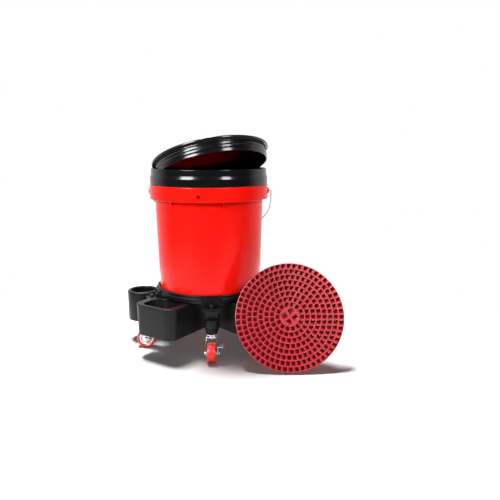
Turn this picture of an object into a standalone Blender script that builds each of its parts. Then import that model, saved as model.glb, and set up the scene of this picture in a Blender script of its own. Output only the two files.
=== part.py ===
"""A 20 litre wash bucket with a screw lid, standing on a five-caster dolly that carries two cup
holders and two tool pods, with its grit guard leaning on the dolly. Sizes are in millimetres,
and MM turns them into Blender's metres. Heights are above the floor, and plan positions are
measured from the bucket's own axis, with -Y to the front."""

import math

import bmesh
import bpy
from mathutils import Matrix, Vector

MM = 0.001
GAP = 0.3  # between neighbouring pieces
BORE_GAP = 0.8  # round a peg in a bore, where both have few sides
ORIGIN_SHIFT = (-55.2, 35.2)  # the bucket's axis, so that the whole group is centred on the origin

ROUND_STEPS = 36  # sides of the large turned pieces
SMALL_STEPS = 8  # sides of the small turned pieces
CUP_STEPS = 18  # sides of a cup holder
TREAD_STEPS = 16  # sides of a wheel and its tyre

# Bucket
BASE_Z = 156.0
BASE_R = 138.2
BODY_TOP_Z = 434.0
BODY_TOP_R = 146.6
WALL = 2.5
BAND_R = 159.0
BAND_BOTTOM_Z = 403.0
BAND_TOP_Z = 440.0
RIM_Z = 465.0
RIM_R = 155.6
GUSSET_TURNS = (-35.0, 17.0, 145.0, 197.0)
GUSSET_THICK = 2.6
BAND_HOLE_TURNS = (-5.4, 174.6)
BAND_HOLE_Z = 417.6
BAND_HOLE_R = 5.0

# Bail
PIVOT_Z = 422.0
WIRE_R = 1.7
BAIL_HALF_WIDTH = 169.0
BAIL_LEG = 59.0
BAIL_BOW = 142.0
BAIL_REACH = BAIL_LEG + BAIL_BOW
BAIL_DROP = math.radians(39.5)  # how far it hangs below level, behind the bucket
GRIP_LENGTH = 92.0
GRIP_R = 9.5
GRIP_END_R = 11.0
EAR_R = 8.0
EAR_OUT = 162.5

# Lid ring and screw lid
RING_TOP_Z = 483.0
RING_R = 158.0
RING_NECK_R = 155.0
RING_BORE_R = 150.5
LID_R = 157.0
LID_FLANGE = 6.0
LID_SKIRT_R = 148.4
LID_SKIRT_DEPTH = 30.4
LID_CREST_R = 149.8
LID_DISH_R = 130.0
LID_DISH_DEPTH = 8.0
LID_CENTRE = (4.7, -7.2, 511.6)
LID_FRONT_UP = math.radians(16.7)
LID_RIGHT_UP = math.radians(11.3)

# Dolly
DECK_TOP_Z = BASE_Z - GAP
DECK_BOTTOM_Z = 144.0
DECK_PLATE = 6.0
DECK_BORE_R = 60.0
DECK_R = 151.0
LIP_R = 147.7
LIP_Z = 169.0
LIP_INNER_R = 140.2
CASTER_CIRCLE_R = 167.0
CASTER_TURNS = (5.0, -67.0, -139.0, 149.0, 77.0)
CASTER_HEADINGS = (0.0, -90.0, -150.0, 165.0, 60.0)
MIRROR_TURN = 5.0  # the dolly is alike on both sides of the plane at this turn
LEG_FOOT_Z = 116.0

# Holders
HOLDER_TOP_Z = 143.0
HOLDER_BOTTOM_Z = 62.0
POD_TURN = -33.0
POD_OUT = 220.0
POD_IN = 100.0
POD_LEFT = -70.0
POD_RIGHT = 45.0
POCKET = (-60.0, 27.0, -207.0, -157.0)  # x and y limits of the tool pocket
POCKET_FLOOR_Z = 67.0
CUP_TURN = -91.2
CUP_CENTRE_R = 191.0
CUP_R = 43.0
CUP_BORE_R = 33.0
CUP_BOTTOM_Z = 51.0
BOLT_R = 3.0
BOLT_HEAD_R = 6.0
POD_BOLT = (-13.0, -127.0)
CUP_BOLT = (0.0, -127.0)

# Casters
WHEEL_R = 26.0
WHEEL_HALF = 11.0
HUB_R = 18.5
TRAIL = 18.0
SOCKET_R = 19.5
SOCKET_BOTTOM_Z = 78.0
STEM_R = 5.0
RIVET_R = 4.0
CROWN_TOP_Z = 72.7
CROWN_BOTTOM_Z = 69.0
CHEEK_IN = 11.9
CHEEK_OUT = 13.9
AXLE_R = 3.2
BRAKED = (0, 3)

# Grit guard
GUARD_R = 134.5
GUARD_THICK = 14.0
GUARD_LEAN = math.radians(24.0)
GUARD_CENTRE = (209.0, -204.3)
RING_COUNT = 8
FIRST_RING_R = 30.0
RING_PITCH = 13.86
FIRST_RING_HOLES = 14
HOLES_MORE_PER_RING = 6.65
MOST_HOLES_IN_RING = 56
HOLE_SIDE = 8.4
CENTRE_HOLE_R = 13.8
CENTRE_HOLE_SIDE = 11.6
CROSS_TURN = math.radians(-13.0)
VANE_REACH = (60.0, 96.0)
VANE_DEPTH = 28.0
VANE_THICK = 4.0


# ---------------------------------------------------------------- materials and objects


def finish(name, colour, roughness, metallic=0.0):
    """A Principled material of one colour, roughness and metallic value."""
    material = bpy.data.materials.new(name)
    material.use_nodes = True
    shader = material.node_tree.nodes["Principled BSDF"]
    shader.inputs["Base Color"].default_value = (*colour, 1.0)
    shader.inputs["Roughness"].default_value = roughness
    shader.inputs["Metallic"].default_value = metallic
    material.diffuse_color = (*colour, 1.0)
    return material


def clear_scene():
    for obj in list(bpy.data.objects):
        bpy.data.objects.remove(obj, do_unlink=True)


def link(obj, parent=None, location=(0.0, 0.0, 0.0), rotation=(0.0, 0.0, 0.0)):
    bpy.context.scene.collection.objects.link(obj)
    obj.parent = parent
    obj.location = [value * MM for value in location]
    obj.rotation_euler = rotation
    return obj


def empty(name, parent=None, location=(0.0, 0.0, 0.0), rotation=(0.0, 0.0, 0.0)):
    return link(bpy.data.objects.new(name, None), parent, location, rotation)


def mesh_of(bm, name):
    """Close a bmesh into a mesh: welded, facing outwards and shaded smooth between sharp edges."""
    bmesh.ops.remove_doubles(bm, verts=bm.verts, dist=0.001 * MM)
    bmesh.ops.recalc_face_normals(bm, faces=bm.faces)
    mesh = bpy.data.meshes.new(name)
    bm.to_mesh(mesh)
    bm.free()
    mesh.shade_smooth()
    mesh.set_sharp_from_angle(angle=math.radians(35))
    return mesh


def solid(name, bm, material, parent=None, location=(0.0, 0.0, 0.0), rotation=(0.0, 0.0, 0.0)):
    obj = bpy.data.objects.new(name, mesh_of(bm, name))
    obj.data.materials.append(material)
    return link(obj, parent, location, rotation)


def combine(target, bm, operation, name):
    """Join a hidden shape to an object, or cut it away, in the object's own frame."""
    tool = bpy.data.objects.new(name, mesh_of(bm, name))
    link(tool, target)
    tool.hide_render = True
    tool.display_type = "WIRE"
    modifier = target.modifiers.new(name, "BOOLEAN")
    modifier.operation = operation
    modifier.object = tool
    modifier.solver = "EXACT"


# ---------------------------------------------------------------- shapes


def turn(degrees):
    return Matrix.Rotation(math.radians(degrees), 4, "Z")


def add_turned(bm, profile, steps, ring=False, place=None):
    """Spin an (r, z) profile about Z. A ring's profile closes on itself; any other starts and
    ends on the axis."""
    verts = [bm.verts.new((r * MM, 0.0, z * MM)) for r, z in profile]
    edges = [bm.edges.new(pair) for pair in zip(verts, verts[1:])]
    if ring:
        edges.append(bm.edges.new((verts[-1], verts[0])))
    before = set(bm.verts)
    bmesh.ops.spin(
        bm, geom=verts + edges, cent=(0, 0, 0), axis=(0, 0, 1), angle=2 * math.pi, steps=steps
    )
    made = verts + [vert for vert in bm.verts if vert not in before]
    if place:
        bmesh.ops.transform(bm, matrix=place, verts=made)


def turned(profile, steps, ring=False, place=None):
    bm = bmesh.new()
    add_turned(bm, profile, steps, ring, place)
    return bm


def add_loft(bm, loops, place=None):
    """Skin a stack of loops with the same number of points, and cap both ends."""
    rings = [[bm.verts.new(Vector(point) * MM) for point in loop] for loop in loops]
    for low, high in zip(rings, rings[1:]):
        for i in range(len(low)):
            j = (i + 1) % len(low)
            bm.faces.new((low[i], low[j], high[j], high[i]))
    bm.faces.new(reversed(rings[0]))
    bm.faces.new(rings[-1])
    if place:
        bmesh.ops.transform(bm, matrix=place, verts=[vert for ring in rings for vert in ring])


def add_prism(bm, outline, low, high, place=None):
    """Extrude a plan outline of (x, y) points from one height to another."""
    add_loft(bm, [[(x, y, z) for x, y in outline] for z in (low, high)], place)


def add_box(bm, x, y, z, place=None):
    add_prism(bm, [(x[0], y[0]), (x[1], y[0]), (x[1], y[1]), (x[0], y[1])], z[0], z[1], place)


def rounded(corners, radii, steps=4):
    """An anticlockwise outline with each corner replaced by an arc."""
    outline = []
    count = len(corners)
    for i, radius in enumerate(radii):
        corner = Vector(corners[i])
        back = (Vector(corners[i - 1]) - corner).normalized()
        ahead = (Vector(corners[(i + 1) % count]) - corner).normalized()
        half = back.angle(ahead) / 2
        centre = corner + (back + ahead).normalized() * radius / math.sin(half)
        start = corner + back * radius / math.tan(half) - centre
        sweep = math.pi - 2 * half
        for step in range(steps + 1):
            angle = sweep * step / steps
            x = start.x * math.cos(angle) - start.y * math.sin(angle)
            y = start.x * math.sin(angle) + start.y * math.cos(angle)
            outline.append((centre.x + x, centre.y + y))
    return outline


def rectangle(left, right, near, far):
    return [(left, near), (right, near), (right, far), (left, far)]


def chamfered(half_width, near, far, cut, z):
    """A loop of eight points: a rectangle in plan with its corners cut."""
    return [
        (-half_width + cut, near, z),
        (half_width - cut, near, z),
        (half_width, near + cut, z),
        (half_width, far - cut, z),
        (half_width - cut, far, z),
        (-half_width + cut, far, z),
        (-half_width, far - cut, z),
        (-half_width, near + cut, z),
    ]


# ---------------------------------------------------------------- bucket and bail


def body_radius(z):
    """Outer radius of the tapered wall at a height."""
    return BASE_R + (BODY_TOP_R - BASE_R) * (z - BASE_Z) / (BODY_TOP_Z - BASE_Z)


def make_bucket(group, red):
    band_in = BAND_R - 2.2
    shelf_z = BODY_TOP_Z + WALL
    floor_z = BASE_Z + 5.0
    bm = turned(
        [
            (0, BASE_Z + 2.5),
            (131, BASE_Z + 2.5),
            (132.5, BASE_Z),
            (BASE_R - 1.7, BASE_Z),
            (body_radius(BASE_Z + 4), BASE_Z + 4),
            (BODY_TOP_R, BODY_TOP_Z),
            (band_in, BODY_TOP_Z),
            (band_in, BAND_BOTTOM_Z),
            (BAND_R, BAND_BOTTOM_Z),
            (BAND_R, BAND_TOP_Z - 1.5),
            (BAND_R - 1.5, BAND_TOP_Z),
            (RIM_R, BAND_TOP_Z),
            (RIM_R, RIM_Z - 1),
            (RIM_R - 1, RIM_Z),
            (RIM_R - WALL, RIM_Z - 1),
            (RIM_R - WALL, shelf_z),
            (BODY_TOP_R - WALL, shelf_z),
            (body_radius(floor_z + 6) - WALL, floor_z + 6),
            (body_radius(floor_z) - WALL - 5, floor_z),
            (0, floor_z),
        ],
        ROUND_STEPS,
    )
    bucket = solid("bucket", bm, red, group)

    gussets = bmesh.new()
    side = [
        (144.0, BAND_BOTTOM_Z - 15),
        (146.4, BAND_BOTTOM_Z - 15),
        (157.6, BAND_BOTTOM_Z + 1),
        (157.6, BODY_TOP_Z + 1),
        (144.6, BODY_TOP_Z + 1),
    ]
    for angle in GUSSET_TURNS:
        loops = [[(x, -r, z) for r, z in side] for x in (-GUSSET_THICK / 2, GUSSET_THICK / 2)]
        add_loft(gussets, loops, turn(angle))
    combine(bucket, gussets, "UNION", "band_gussets")

    ears = bmesh.new()
    for sign in (-1, 1):
        across = Matrix.Translation((0, 0, PIVOT_Z * MM)) @ Matrix.Rotation(math.pi / 2, 4, "Y")
        span = sorted((sign * (BAND_R - 3.4), sign * EAR_OUT))
        add_turned(ears, [(0, span[0]), (EAR_R, span[0]), (EAR_R, span[1]), (0, span[1])],
                   SMALL_STEPS, place=across)
    combine(bucket, ears, "UNION", "bail_ears")

    holes = bmesh.new()
    for angle in BAND_HOLE_TURNS:
        place = turn(angle) @ Matrix.Translation((0, 0, BAND_HOLE_Z * MM))
        place = place @ Matrix.Rotation(math.pi / 2, 4, "X")
        add_turned(holes, [(0, 152), (BAND_HOLE_R, 152), (BAND_HOLE_R, 163), (0, 163)],
                   SMALL_STEPS, place=place)
    for sign in (-1, 1):
        across = Matrix.Translation((0, 0, PIVOT_Z * MM)) @ Matrix.Rotation(math.pi / 2, 4, "Y")
        span = sorted((sign * 150.0, sign * (EAR_OUT + 2)))
        add_turned(holes, [(0, span[0]), (WIRE_R + 0.5, span[0]), (WIRE_R + 0.5, span[1]),
                           (0, span[1])], SMALL_STEPS, place=across)
    combine(bucket, holes, "DIFFERENCE", "band_holes")


def arc(centre, radius, start, stop, steps):
    """Points of an arc in the bail's plane, from one angle in degrees to another."""
    points = []
    for step in range(steps + 1):
        angle = math.radians(start + (stop - start) * step / steps)
        points.append((centre[0] + radius * math.cos(angle), centre[1] + radius * math.sin(angle)))
    return points


def bail_half():
    """The right half of the wire, from its hook behind the ear to the grip."""
    hook_x = 151.6
    bend = 3.5
    outer_bend = 5.0
    flat = GRIP_LENGTH / 2 + 2
    points = [(hook_x, -9.0)]
    points += arc((hook_x + bend, -bend), bend, 180, 90, 3)
    points += arc((BAIL_HALF_WIDTH - outer_bend, outer_bend), outer_bend, -90, 0, 4)
    for step in range(11):
        angle = math.radians(90 * step / 10)
        x = flat + (BAIL_HALF_WIDTH - flat) * math.cos(angle)
        points.append((x, BAIL_LEG + BAIL_BOW * math.sin(angle)))
    return points


def make_bail(group, steel, black):
    pivot = empty("bail_pivot", group, (0, 0, PIVOT_Z), (-BAIL_DROP, 0, 0))
    half = bail_half()
    points = half + [(-x, y) for x, y in reversed(half)]
    curve = bpy.data.curves.new("bail_wire", "CURVE")
    curve.dimensions = "3D"
    curve.bevel_depth = WIRE_R * MM
    curve.bevel_resolution = 1
    curve.use_fill_caps = True
    spline = curve.splines.new("POLY")
    spline.points.add(len(points) - 1)
    for target, (x, y) in zip(spline.points, points):
        target.co = (x * MM, y * MM, 0.0, 1.0)
    curve.materials.append(steel)
    link(bpy.data.objects.new("bail_wire", curve), pivot)

    half_grip = GRIP_LENGTH / 2
    profile = [
        (WIRE_R + GAP, -half_grip),
        (GRIP_R, -half_grip),
        (GRIP_END_R, -half_grip + 3),
        (GRIP_R, -half_grip + 12),
        (GRIP_R, half_grip - 12),
        (GRIP_END_R, half_grip - 3),
        (GRIP_R, half_grip),
        (WIRE_R + GAP, half_grip),
    ]
    bm = turned(profile, SMALL_STEPS, True, Matrix.Rotation(math.pi / 2, 4, "Y"))
    solid("bail_grip", bm, black, pivot, (0, BAIL_REACH, 0))


# ---------------------------------------------------------------- ring and lid


def make_ring(group, black, rubber):
    seat_z = RIM_Z + 1.8
    skirt_z = BAND_TOP_Z + GAP
    profile = [
        (RING_BORE_R, skirt_z),
        (RING_BORE_R + 2.3, skirt_z),
        (RING_BORE_R + 2.3, seat_z),
        (RIM_R + GAP, seat_z),
        (RIM_R + GAP, skirt_z),
        (RING_R, skirt_z),
        (RING_R, RIM_Z - 3),
        (RING_NECK_R, RIM_Z + 3),
        (RING_NECK_R, RING_TOP_Z - 1.5),
        (RING_NECK_R - 1.5, RING_TOP_Z),
        (RING_BORE_R + 1, RING_TOP_Z),
        (RING_BORE_R, RING_TOP_Z - 1),
    ]
    solid("lid_ring", turned(profile, ROUND_STEPS, True), black, group)
    seal = [
        (RIM_R - WALL + 0.4, RIM_Z + GAP),
        (RIM_R - 0.2, RIM_Z + GAP),
        (RIM_R - 0.2, seat_z - GAP),
        (RIM_R - WALL + 0.4, seat_z - GAP),
    ]
    solid("ring_gasket", turned(seal, ROUND_STEPS, True), rubber, group)


def lid_profile():
    top = LID_FLANGE / 2
    under = -LID_FLANGE / 2
    dish = top - LID_DISH_DEPTH
    bottom = under - LID_SKIRT_DEPTH
    outer = [(0, dish), (LID_DISH_R, dish), (LID_DISH_R + 3, top), (LID_R - 2, top)]
    outer += [(LID_R, top - 2), (LID_R, under + 1.5), (LID_R - 1.5, under), (LID_SKIRT_R, under)]
    for turn_of_thread in range(3):
        z = under - 4.5 - 6.3 * turn_of_thread
        outer += [(LID_SKIRT_R, z + 1.4), (LID_CREST_R, z), (LID_SKIRT_R, z - 1.4)]
    inner = [(LID_SKIRT_R, bottom), (LID_SKIRT_R - 2.6, bottom), (LID_SKIRT_R - 2.6, top - 2.8)]
    inner += [(LID_DISH_R + 5, top - 2.8), (LID_DISH_R + 2, dish - 2.8), (0, dish - 2.8)]
    return outer + inner


def make_lid(group, black, rubber):
    seat = empty("lid_seat", group, LID_CENTRE, (-LID_FRONT_UP, -LID_RIGHT_UP, 0))
    lid = solid("screw_lid", turned(lid_profile(), ROUND_STEPS), black, seat)
    bar = bmesh.new()
    dish = LID_FLANGE / 2 - LID_DISH_DEPTH
    outline = rounded(rectangle(-78, 78, -9, 9), (8, 8, 8, 8), 3)
    add_prism(bar, outline, dish - 1, LID_FLANGE / 2)
    combine(lid, bar, "UNION", "hand_bar")
    under = -LID_FLANGE / 2
    seal = [(LID_SKIRT_R + 0.4, under - 2.4), (LID_SKIRT_R + 2.4, under - 2.0)]
    seal += [(LID_SKIRT_R + 2.4, under - 0.4), (LID_SKIRT_R + 0.4, under - GAP)]
    solid("lid_o_ring", turned(seal, ROUND_STEPS, True), rubber, seat)


# ---------------------------------------------------------------- dolly


def make_deck(group, black):
    plate_z = DECK_TOP_Z - DECK_PLATE
    profile = [
        (DECK_BORE_R, DECK_BOTTOM_Z),
        (DECK_BORE_R + 5, DECK_BOTTOM_Z),
        (DECK_BORE_R + 5, plate_z),
        (DECK_R - 5, plate_z),
        (DECK_R - 5, DECK_BOTTOM_Z),
        (DECK_R, DECK_BOTTOM_Z),
        (DECK_R, DECK_TOP_Z),
        (LIP_R, DECK_TOP_Z + 1.5),
        (LIP_R, LIP_Z - 1),
        (LIP_R - 1, LIP_Z),
        (LIP_INNER_R + 1, LIP_Z),
        (LIP_INNER_R, LIP_Z - 1),
        (LIP_INNER_R, DECK_TOP_Z),
        (DECK_BORE_R, DECK_TOP_Z),
    ]
    deck = solid("dolly_deck", turned(profile, ROUND_STEPS, True), black, group)

    arms = bmesh.new()
    for angle in CASTER_TURNS:
        add_box(arms, (-14, 14), (-149, -62), (DECK_BOTTOM_Z, plate_z + 2), turn(angle))
    combine(deck, arms, "UNION", "deck_arms")

    legs = bmesh.new()
    out = CASTER_CIRCLE_R + 20
    for angle in CASTER_TURNS:
        loops = [
            chamfered(17, -out + 3, -156, 5, LEG_FOOT_Z),
            chamfered(22, -out, -158, 6, HOLDER_TOP_Z - 4),
            chamfered(24.5, -out - 1.5, -158, 9, HOLDER_TOP_Z - 3),
            chamfered(24.5, -out - 1.5, -158, 9, HOLDER_TOP_Z + 0.5),
            chamfered(24, -out + 1, -145, 5, HOLDER_TOP_Z + 1),
            chamfered(23, -out + 14, -145, 4, LIP_Z - 8),
        ]
        add_loft(legs, loops, turn(angle))
    combine(deck, legs, "UNION", "deck_legs")

    bosses = bmesh.new()
    for place in bolt_places():
        add_turned(bosses, [(0, DECK_BOTTOM_Z), (8, DECK_BOTTOM_Z), (8, plate_z + 2),
                            (0, plate_z + 2)], SMALL_STEPS, place=place)
    combine(deck, bosses, "UNION", "bolt_bosses")

    bores = bmesh.new()
    for angle in CASTER_TURNS:
        place = turn(angle) @ Matrix.Translation((0, -CASTER_CIRCLE_R * MM, 0))
        add_turned(bores, [(0, LEG_FOOT_Z - 5), (STEM_R + BORE_GAP, LEG_FOOT_Z - 5),
                           (STEM_R + BORE_GAP, LEG_FOOT_Z + 18), (0, LEG_FOOT_Z + 18)],
                   SMALL_STEPS, place=place)
    for place in bolt_places():
        shank = BOLT_R + BORE_GAP
        head = BOLT_HEAD_R + BORE_GAP
        seat_z = DECK_TOP_Z - 3.6
        add_turned(bores, [(0, DECK_BOTTOM_Z - 2), (shank, DECK_BOTTOM_Z - 2), (shank, seat_z),
                           (head, seat_z), (head, DECK_TOP_Z + 2), (0, DECK_TOP_Z + 2)],
                   SMALL_STEPS, place=place)
    combine(deck, bores, "DIFFERENCE", "deck_bores")


def mirrored_turn(degrees):
    return 2 * MIRROR_TURN - degrees


def bolt_places():
    """Where the four holder bolts stand: left pod, right pod, left cup, right cup."""
    x, y = POD_BOLT
    left = Matrix.Translation((x * MM, y * MM, 0))
    right = Matrix.Translation((-x * MM, y * MM, 0))
    cup = Matrix.Translation((CUP_BOLT[0] * MM, CUP_BOLT[1] * MM, 0))
    return [
        turn(POD_TURN) @ left,
        turn(mirrored_turn(POD_TURN)) @ right,
        turn(CUP_TURN) @ cup,
        turn(mirrored_turn(CUP_TURN)) @ cup,
    ]


def make_bolts(group, steel):
    head_z = DECK_TOP_Z - 3.3
    profile = [(0, HOLDER_TOP_Z - 16), (BOLT_R, HOLDER_TOP_Z - 15), (BOLT_R, head_z)]
    profile += [(BOLT_HEAD_R, head_z), (BOLT_HEAD_R, DECK_TOP_Z - 0.8), (0, DECK_TOP_Z - 0.8)]
    for index, place in enumerate(bolt_places()):
        bolt = solid(f"holder_bolt_{index + 1}", turned(profile, 8), steel, group)
        bolt.location = place.translation


def make_pod(group, black, name, degrees, side):
    """A tool pod. side is 1 for the left one, and -1 for its mirror image on the right."""
    corners = rectangle(POD_LEFT, POD_RIGHT, -POD_OUT, -POD_IN)
    radii = (14, 24, 6, 6)
    shape = bmesh.new()
    outline = rounded(corners, radii)
    low = [(x * 0.985, y + 1.5) for x, y in outline]
    loops = [
        [(side * x, y, HOLDER_BOTTOM_Z) for x, y in low],
        [(side * x, y, HOLDER_TOP_Z - 2) for x, y in outline],
        [(side * x * 0.98, y * 0.992, HOLDER_TOP_Z) for x, y in outline],
    ]
    add_loft(shape, loops)
    pod = solid(name, shape, black, group, rotation=(0, 0, math.radians(degrees)))

    pockets = bmesh.new()
    left, right, near, far = POCKET
    tool = rounded(rectangle(left, right, near, far), (20, 22, 18, 18))
    add_prism(pockets, [(side * x, y) for x, y in tool], POCKET_FLOOR_Z, HOLDER_TOP_Z + 5)
    for x_limits in ((-66, -22), (-4, 41)):
        x = sorted(side * value for value in x_limits)
        add_box(pockets, x, (-150, -104), (HOLDER_BOTTOM_Z - 5, HOLDER_TOP_Z - 4))
    bolt_x = side * POD_BOLT[0]
    hole = Matrix.Translation((bolt_x * MM, POD_BOLT[1] * MM, 0))
    add_turned(pockets, bolt_hole(), SMALL_STEPS, place=hole)
    combine(pod, pockets, "DIFFERENCE", f"{name}_pockets")


def bolt_hole():
    low = HOLDER_TOP_Z - 17
    high = HOLDER_TOP_Z + 3
    return [(0, low), (BOLT_R + BORE_GAP, low), (BOLT_R + BORE_GAP, high), (0, high)]


def make_cup(group, black, name, degrees):
    top = HOLDER_TOP_Z + 0.5
    floor_z = CUP_BOTTOM_Z + 8
    profile = [
        (0, floor_z),
        (CUP_BORE_R - 1, floor_z),
        (CUP_BORE_R, top - 3),
        (CUP_BORE_R + 2.5, top),
        (CUP_R - 2.5, top),
        (CUP_R, top - 3),
        (CUP_R - 0.7, CUP_BOTTOM_Z),
        (CUP_R - 3.5, CUP_BOTTOM_Z),
        (CUP_R - 3, top - 7),
        (CUP_BORE_R + 3, top - 7),
        (CUP_BORE_R + 2, floor_z - 3),
        (0, floor_z - 3),
    ]
    place = Matrix.Translation((0, -CUP_CENTRE_R * MM, 0))
    shape = turned(profile, CUP_STEPS, place=place)
    cup = solid(name, shape, black, group, rotation=(0, 0, math.radians(degrees)))
    arm = bmesh.new()
    outline = rounded(rectangle(-17, 17, -153, -112), (1, 1, 14, 14), 3)
    add_prism(arm, outline, HOLDER_TOP_Z - 14, HOLDER_TOP_Z)
    combine(cup, arm, "UNION", f"{name}_arm")
    holes = turned(bolt_hole(), SMALL_STEPS, place=Matrix.Translation((0, CUP_BOLT[1] * MM, 0)))
    combine(cup, holes, "DIFFERENCE", f"{name}_bolt_hole")


# ---------------------------------------------------------------- casters


def make_caster(group, index, materials):
    black, chrome, red, white = materials
    name = f"caster_{index + 1}"
    degrees = CASTER_TURNS[index]
    angle = math.radians(degrees)
    spot = (CASTER_CIRCLE_R * math.sin(angle), -CASTER_CIRCLE_R * math.cos(angle), 0)
    heading = (0, 0, math.radians(CASTER_HEADINGS[index]))
    make_socket(group, f"{name}_socket", spot, black)
    make_stem(group, f"{name}_stem", spot, chrome)
    swivel = empty(f"{name}_swivel", group, spot, heading)
    make_fork(swivel, f"{name}_fork", chrome)
    axle = empty(f"{name}_axle_line", swivel, (0, -TRAIL, WHEEL_R))
    make_wheel(axle, name, white, red)
    make_axle(axle, f"{name}_axle", chrome, index in BRAKED)
    if index in BRAKED:
        make_brake(axle, f"{name}_brake_lever", chrome)


def make_socket(group, name, spot, black):
    top = LEG_FOOT_Z - GAP
    bore = STEM_R + GAP
    profile = [(bore, SOCKET_BOTTOM_Z), (15, SOCKET_BOTTOM_Z), (SOCKET_R, SOCKET_BOTTOM_Z + 16)]
    profile += [(SOCKET_R, top), (bore, top)]
    solid(name, turned(profile, 12, True), black, group, spot)


def make_stem(group, name, spot, chrome):
    race_z = CROWN_TOP_Z + GAP
    tip = LEG_FOOT_Z + 16
    profile = [(0, 60), (6.5, 60), (6.5, 63), (RIVET_R, 63), (RIVET_R, race_z), (14, race_z)]
    profile += [(15, SOCKET_BOTTOM_Z - GAP), (STEM_R, SOCKET_BOTTOM_Z - GAP), (STEM_R, tip)]
    profile += [(0, tip + 1)]
    solid(name, turned(profile, SMALL_STEPS), chrome, group, spot)


def make_fork(swivel, name, chrome):
    """A crown plate with a cheek down each side to the axle."""
    crown = bmesh.new()
    outline = rounded(rectangle(-CHEEK_OUT, CHEEK_OUT, -14, 13), (5, 5, 5, 5), 2)
    add_prism(crown, outline, CROWN_BOTTOM_Z, CROWN_TOP_Z)
    fork = solid(name, crown, chrome, swivel)
    cheeks = bmesh.new()
    side = [(-TRAIL - 6, 19), (-TRAIL + 4, 19), (-TRAIL + 8, 24), (9, 60), (8, 71), (-10, 71)]
    side += [(-TRAIL - 9, 33), (-TRAIL - 9, 24)]
    for near, far in ((-CHEEK_OUT, -CHEEK_IN), (CHEEK_IN, CHEEK_OUT)):
        add_loft(cheeks, [[(x, y, z) for y, z in side] for x in (near, far)])
    combine(fork, cheeks, "UNION", f"{name}_cheeks")
    rivet = RIVET_R + BORE_GAP
    bores = turned([(0, 55), (rivet, 55), (rivet, 80), (0, 80)], SMALL_STEPS)
    across = Matrix.Translation((0, -TRAIL * MM, WHEEL_R * MM)) @ Matrix.Rotation(math.pi / 2, 4, "Y")
    add_turned(bores, [(0, -20), (AXLE_R + GAP, -20), (AXLE_R + GAP, 20), (0, 20)],
               SMALL_STEPS, place=across)
    combine(fork, bores, "DIFFERENCE", f"{name}_bores")


def make_wheel(axle, name, white, red):
    across = Matrix.Rotation(math.pi / 2, 4, "Y")
    bore = AXLE_R + 0.4
    side = WHEEL_HALF
    hub = [(bore, -side), (8, -side), (9, -4), (15, -4), (HUB_R, -9), (HUB_R, 9), (15, 4)]
    hub += [(9, 4), (8, side), (bore, side)]
    solid(f"{name}_wheel", turned(hub, TREAD_STEPS, True, across), white, axle)
    inner = HUB_R + GAP
    tyre = [(inner, -9), (WHEEL_R - 3, -side), (WHEEL_R, -side + 3), (WHEEL_R, side - 3)]
    tyre += [(WHEEL_R - 3, side), (inner, 9)]
    solid(f"{name}_tyre", turned(tyre, TREAD_STEPS, True, across), red, axle)


def make_axle(axle, name, chrome, braked):
    """The bolt and its nut. On a braked caster the head stands clear of the lever."""
    head = CHEEK_OUT + GAP + (3.0 if braked else 0.0)
    nut = -CHEEK_OUT - GAP
    profile = [(0, nut - 4), (5.5, nut - 4), (5.5, nut), (AXLE_R, nut), (AXLE_R, head)]
    profile += [(5.5, head), (5.5, head + 3), (0, head + 3)]
    solid(name, turned(profile, 8, False, Matrix.Rotation(math.pi / 2, 4, "Y")), chrome, axle)


def make_brake(axle, name, chrome):
    """A lever on the axle, outside the right cheek, with a foot pad standing out from it."""
    near = CHEEK_OUT + GAP
    far = near + 2.4
    shape = bmesh.new()
    arm = [(-8, -6), (6, -6), (8, 2), (0, 24), (-14, 24), (-10, 4)]
    add_loft(shape, [[(x, y, z) for y, z in arm] for x in (near, far)])
    lever = solid(name, shape, chrome, axle)
    pad = bmesh.new()
    outline = rounded(rectangle(near + 0.5, near + 18, -16, -3), (1, 5, 5, 1), 2)
    add_prism(pad, outline, 20.5, 23)
    combine(lever, pad, "UNION", f"{name}_pad")
    across = Matrix.Rotation(math.pi / 2, 4, "Y")
    hole = turned([(0, 10), (AXLE_R + GAP, 10), (AXLE_R + GAP, 20), (0, 20)], SMALL_STEPS,
                  place=across)
    combine(lever, hole, "DIFFERENCE", f"{name}_hole")


# ---------------------------------------------------------------- grit guard


def hole_loop(bm, centre_r, angle, side, skew):
    """The four corners of a hole, turned to face the centre, or with skew onto its corner."""
    half = side / 2
    loop = []
    for x, y in ((-half, -half), (half, -half), (half, half), (-half, half)):
        across = x * math.cos(skew) - y * math.sin(skew)
        out = centre_r + x * math.sin(skew) + y * math.cos(skew)
        u = out * math.cos(angle) - across * math.sin(angle)
        v = out * math.sin(angle) + across * math.cos(angle)
        loop.append(bm.verts.new((u * MM, v * MM, 0.0)))
    return loop


def guard_holes(bm):
    loops = []
    for ring in range(RING_COUNT):
        radius = FIRST_RING_R + RING_PITCH * ring
        count = min(round(FIRST_RING_HOLES + HOLES_MORE_PER_RING * ring), MOST_HOLES_IN_RING)
        for hole in range(count):
            loops.append(hole_loop(bm, radius, 2 * math.pi * hole / count, HOLE_SIDE, 0.0))
    for quarter in range(4):
        angle = math.pi / 2 * (quarter + 1) + CROSS_TURN
        loops.append(hole_loop(bm, CENTRE_HOLE_R, angle, CENTRE_HOLE_SIDE, math.pi / 4))
    return loops


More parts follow.
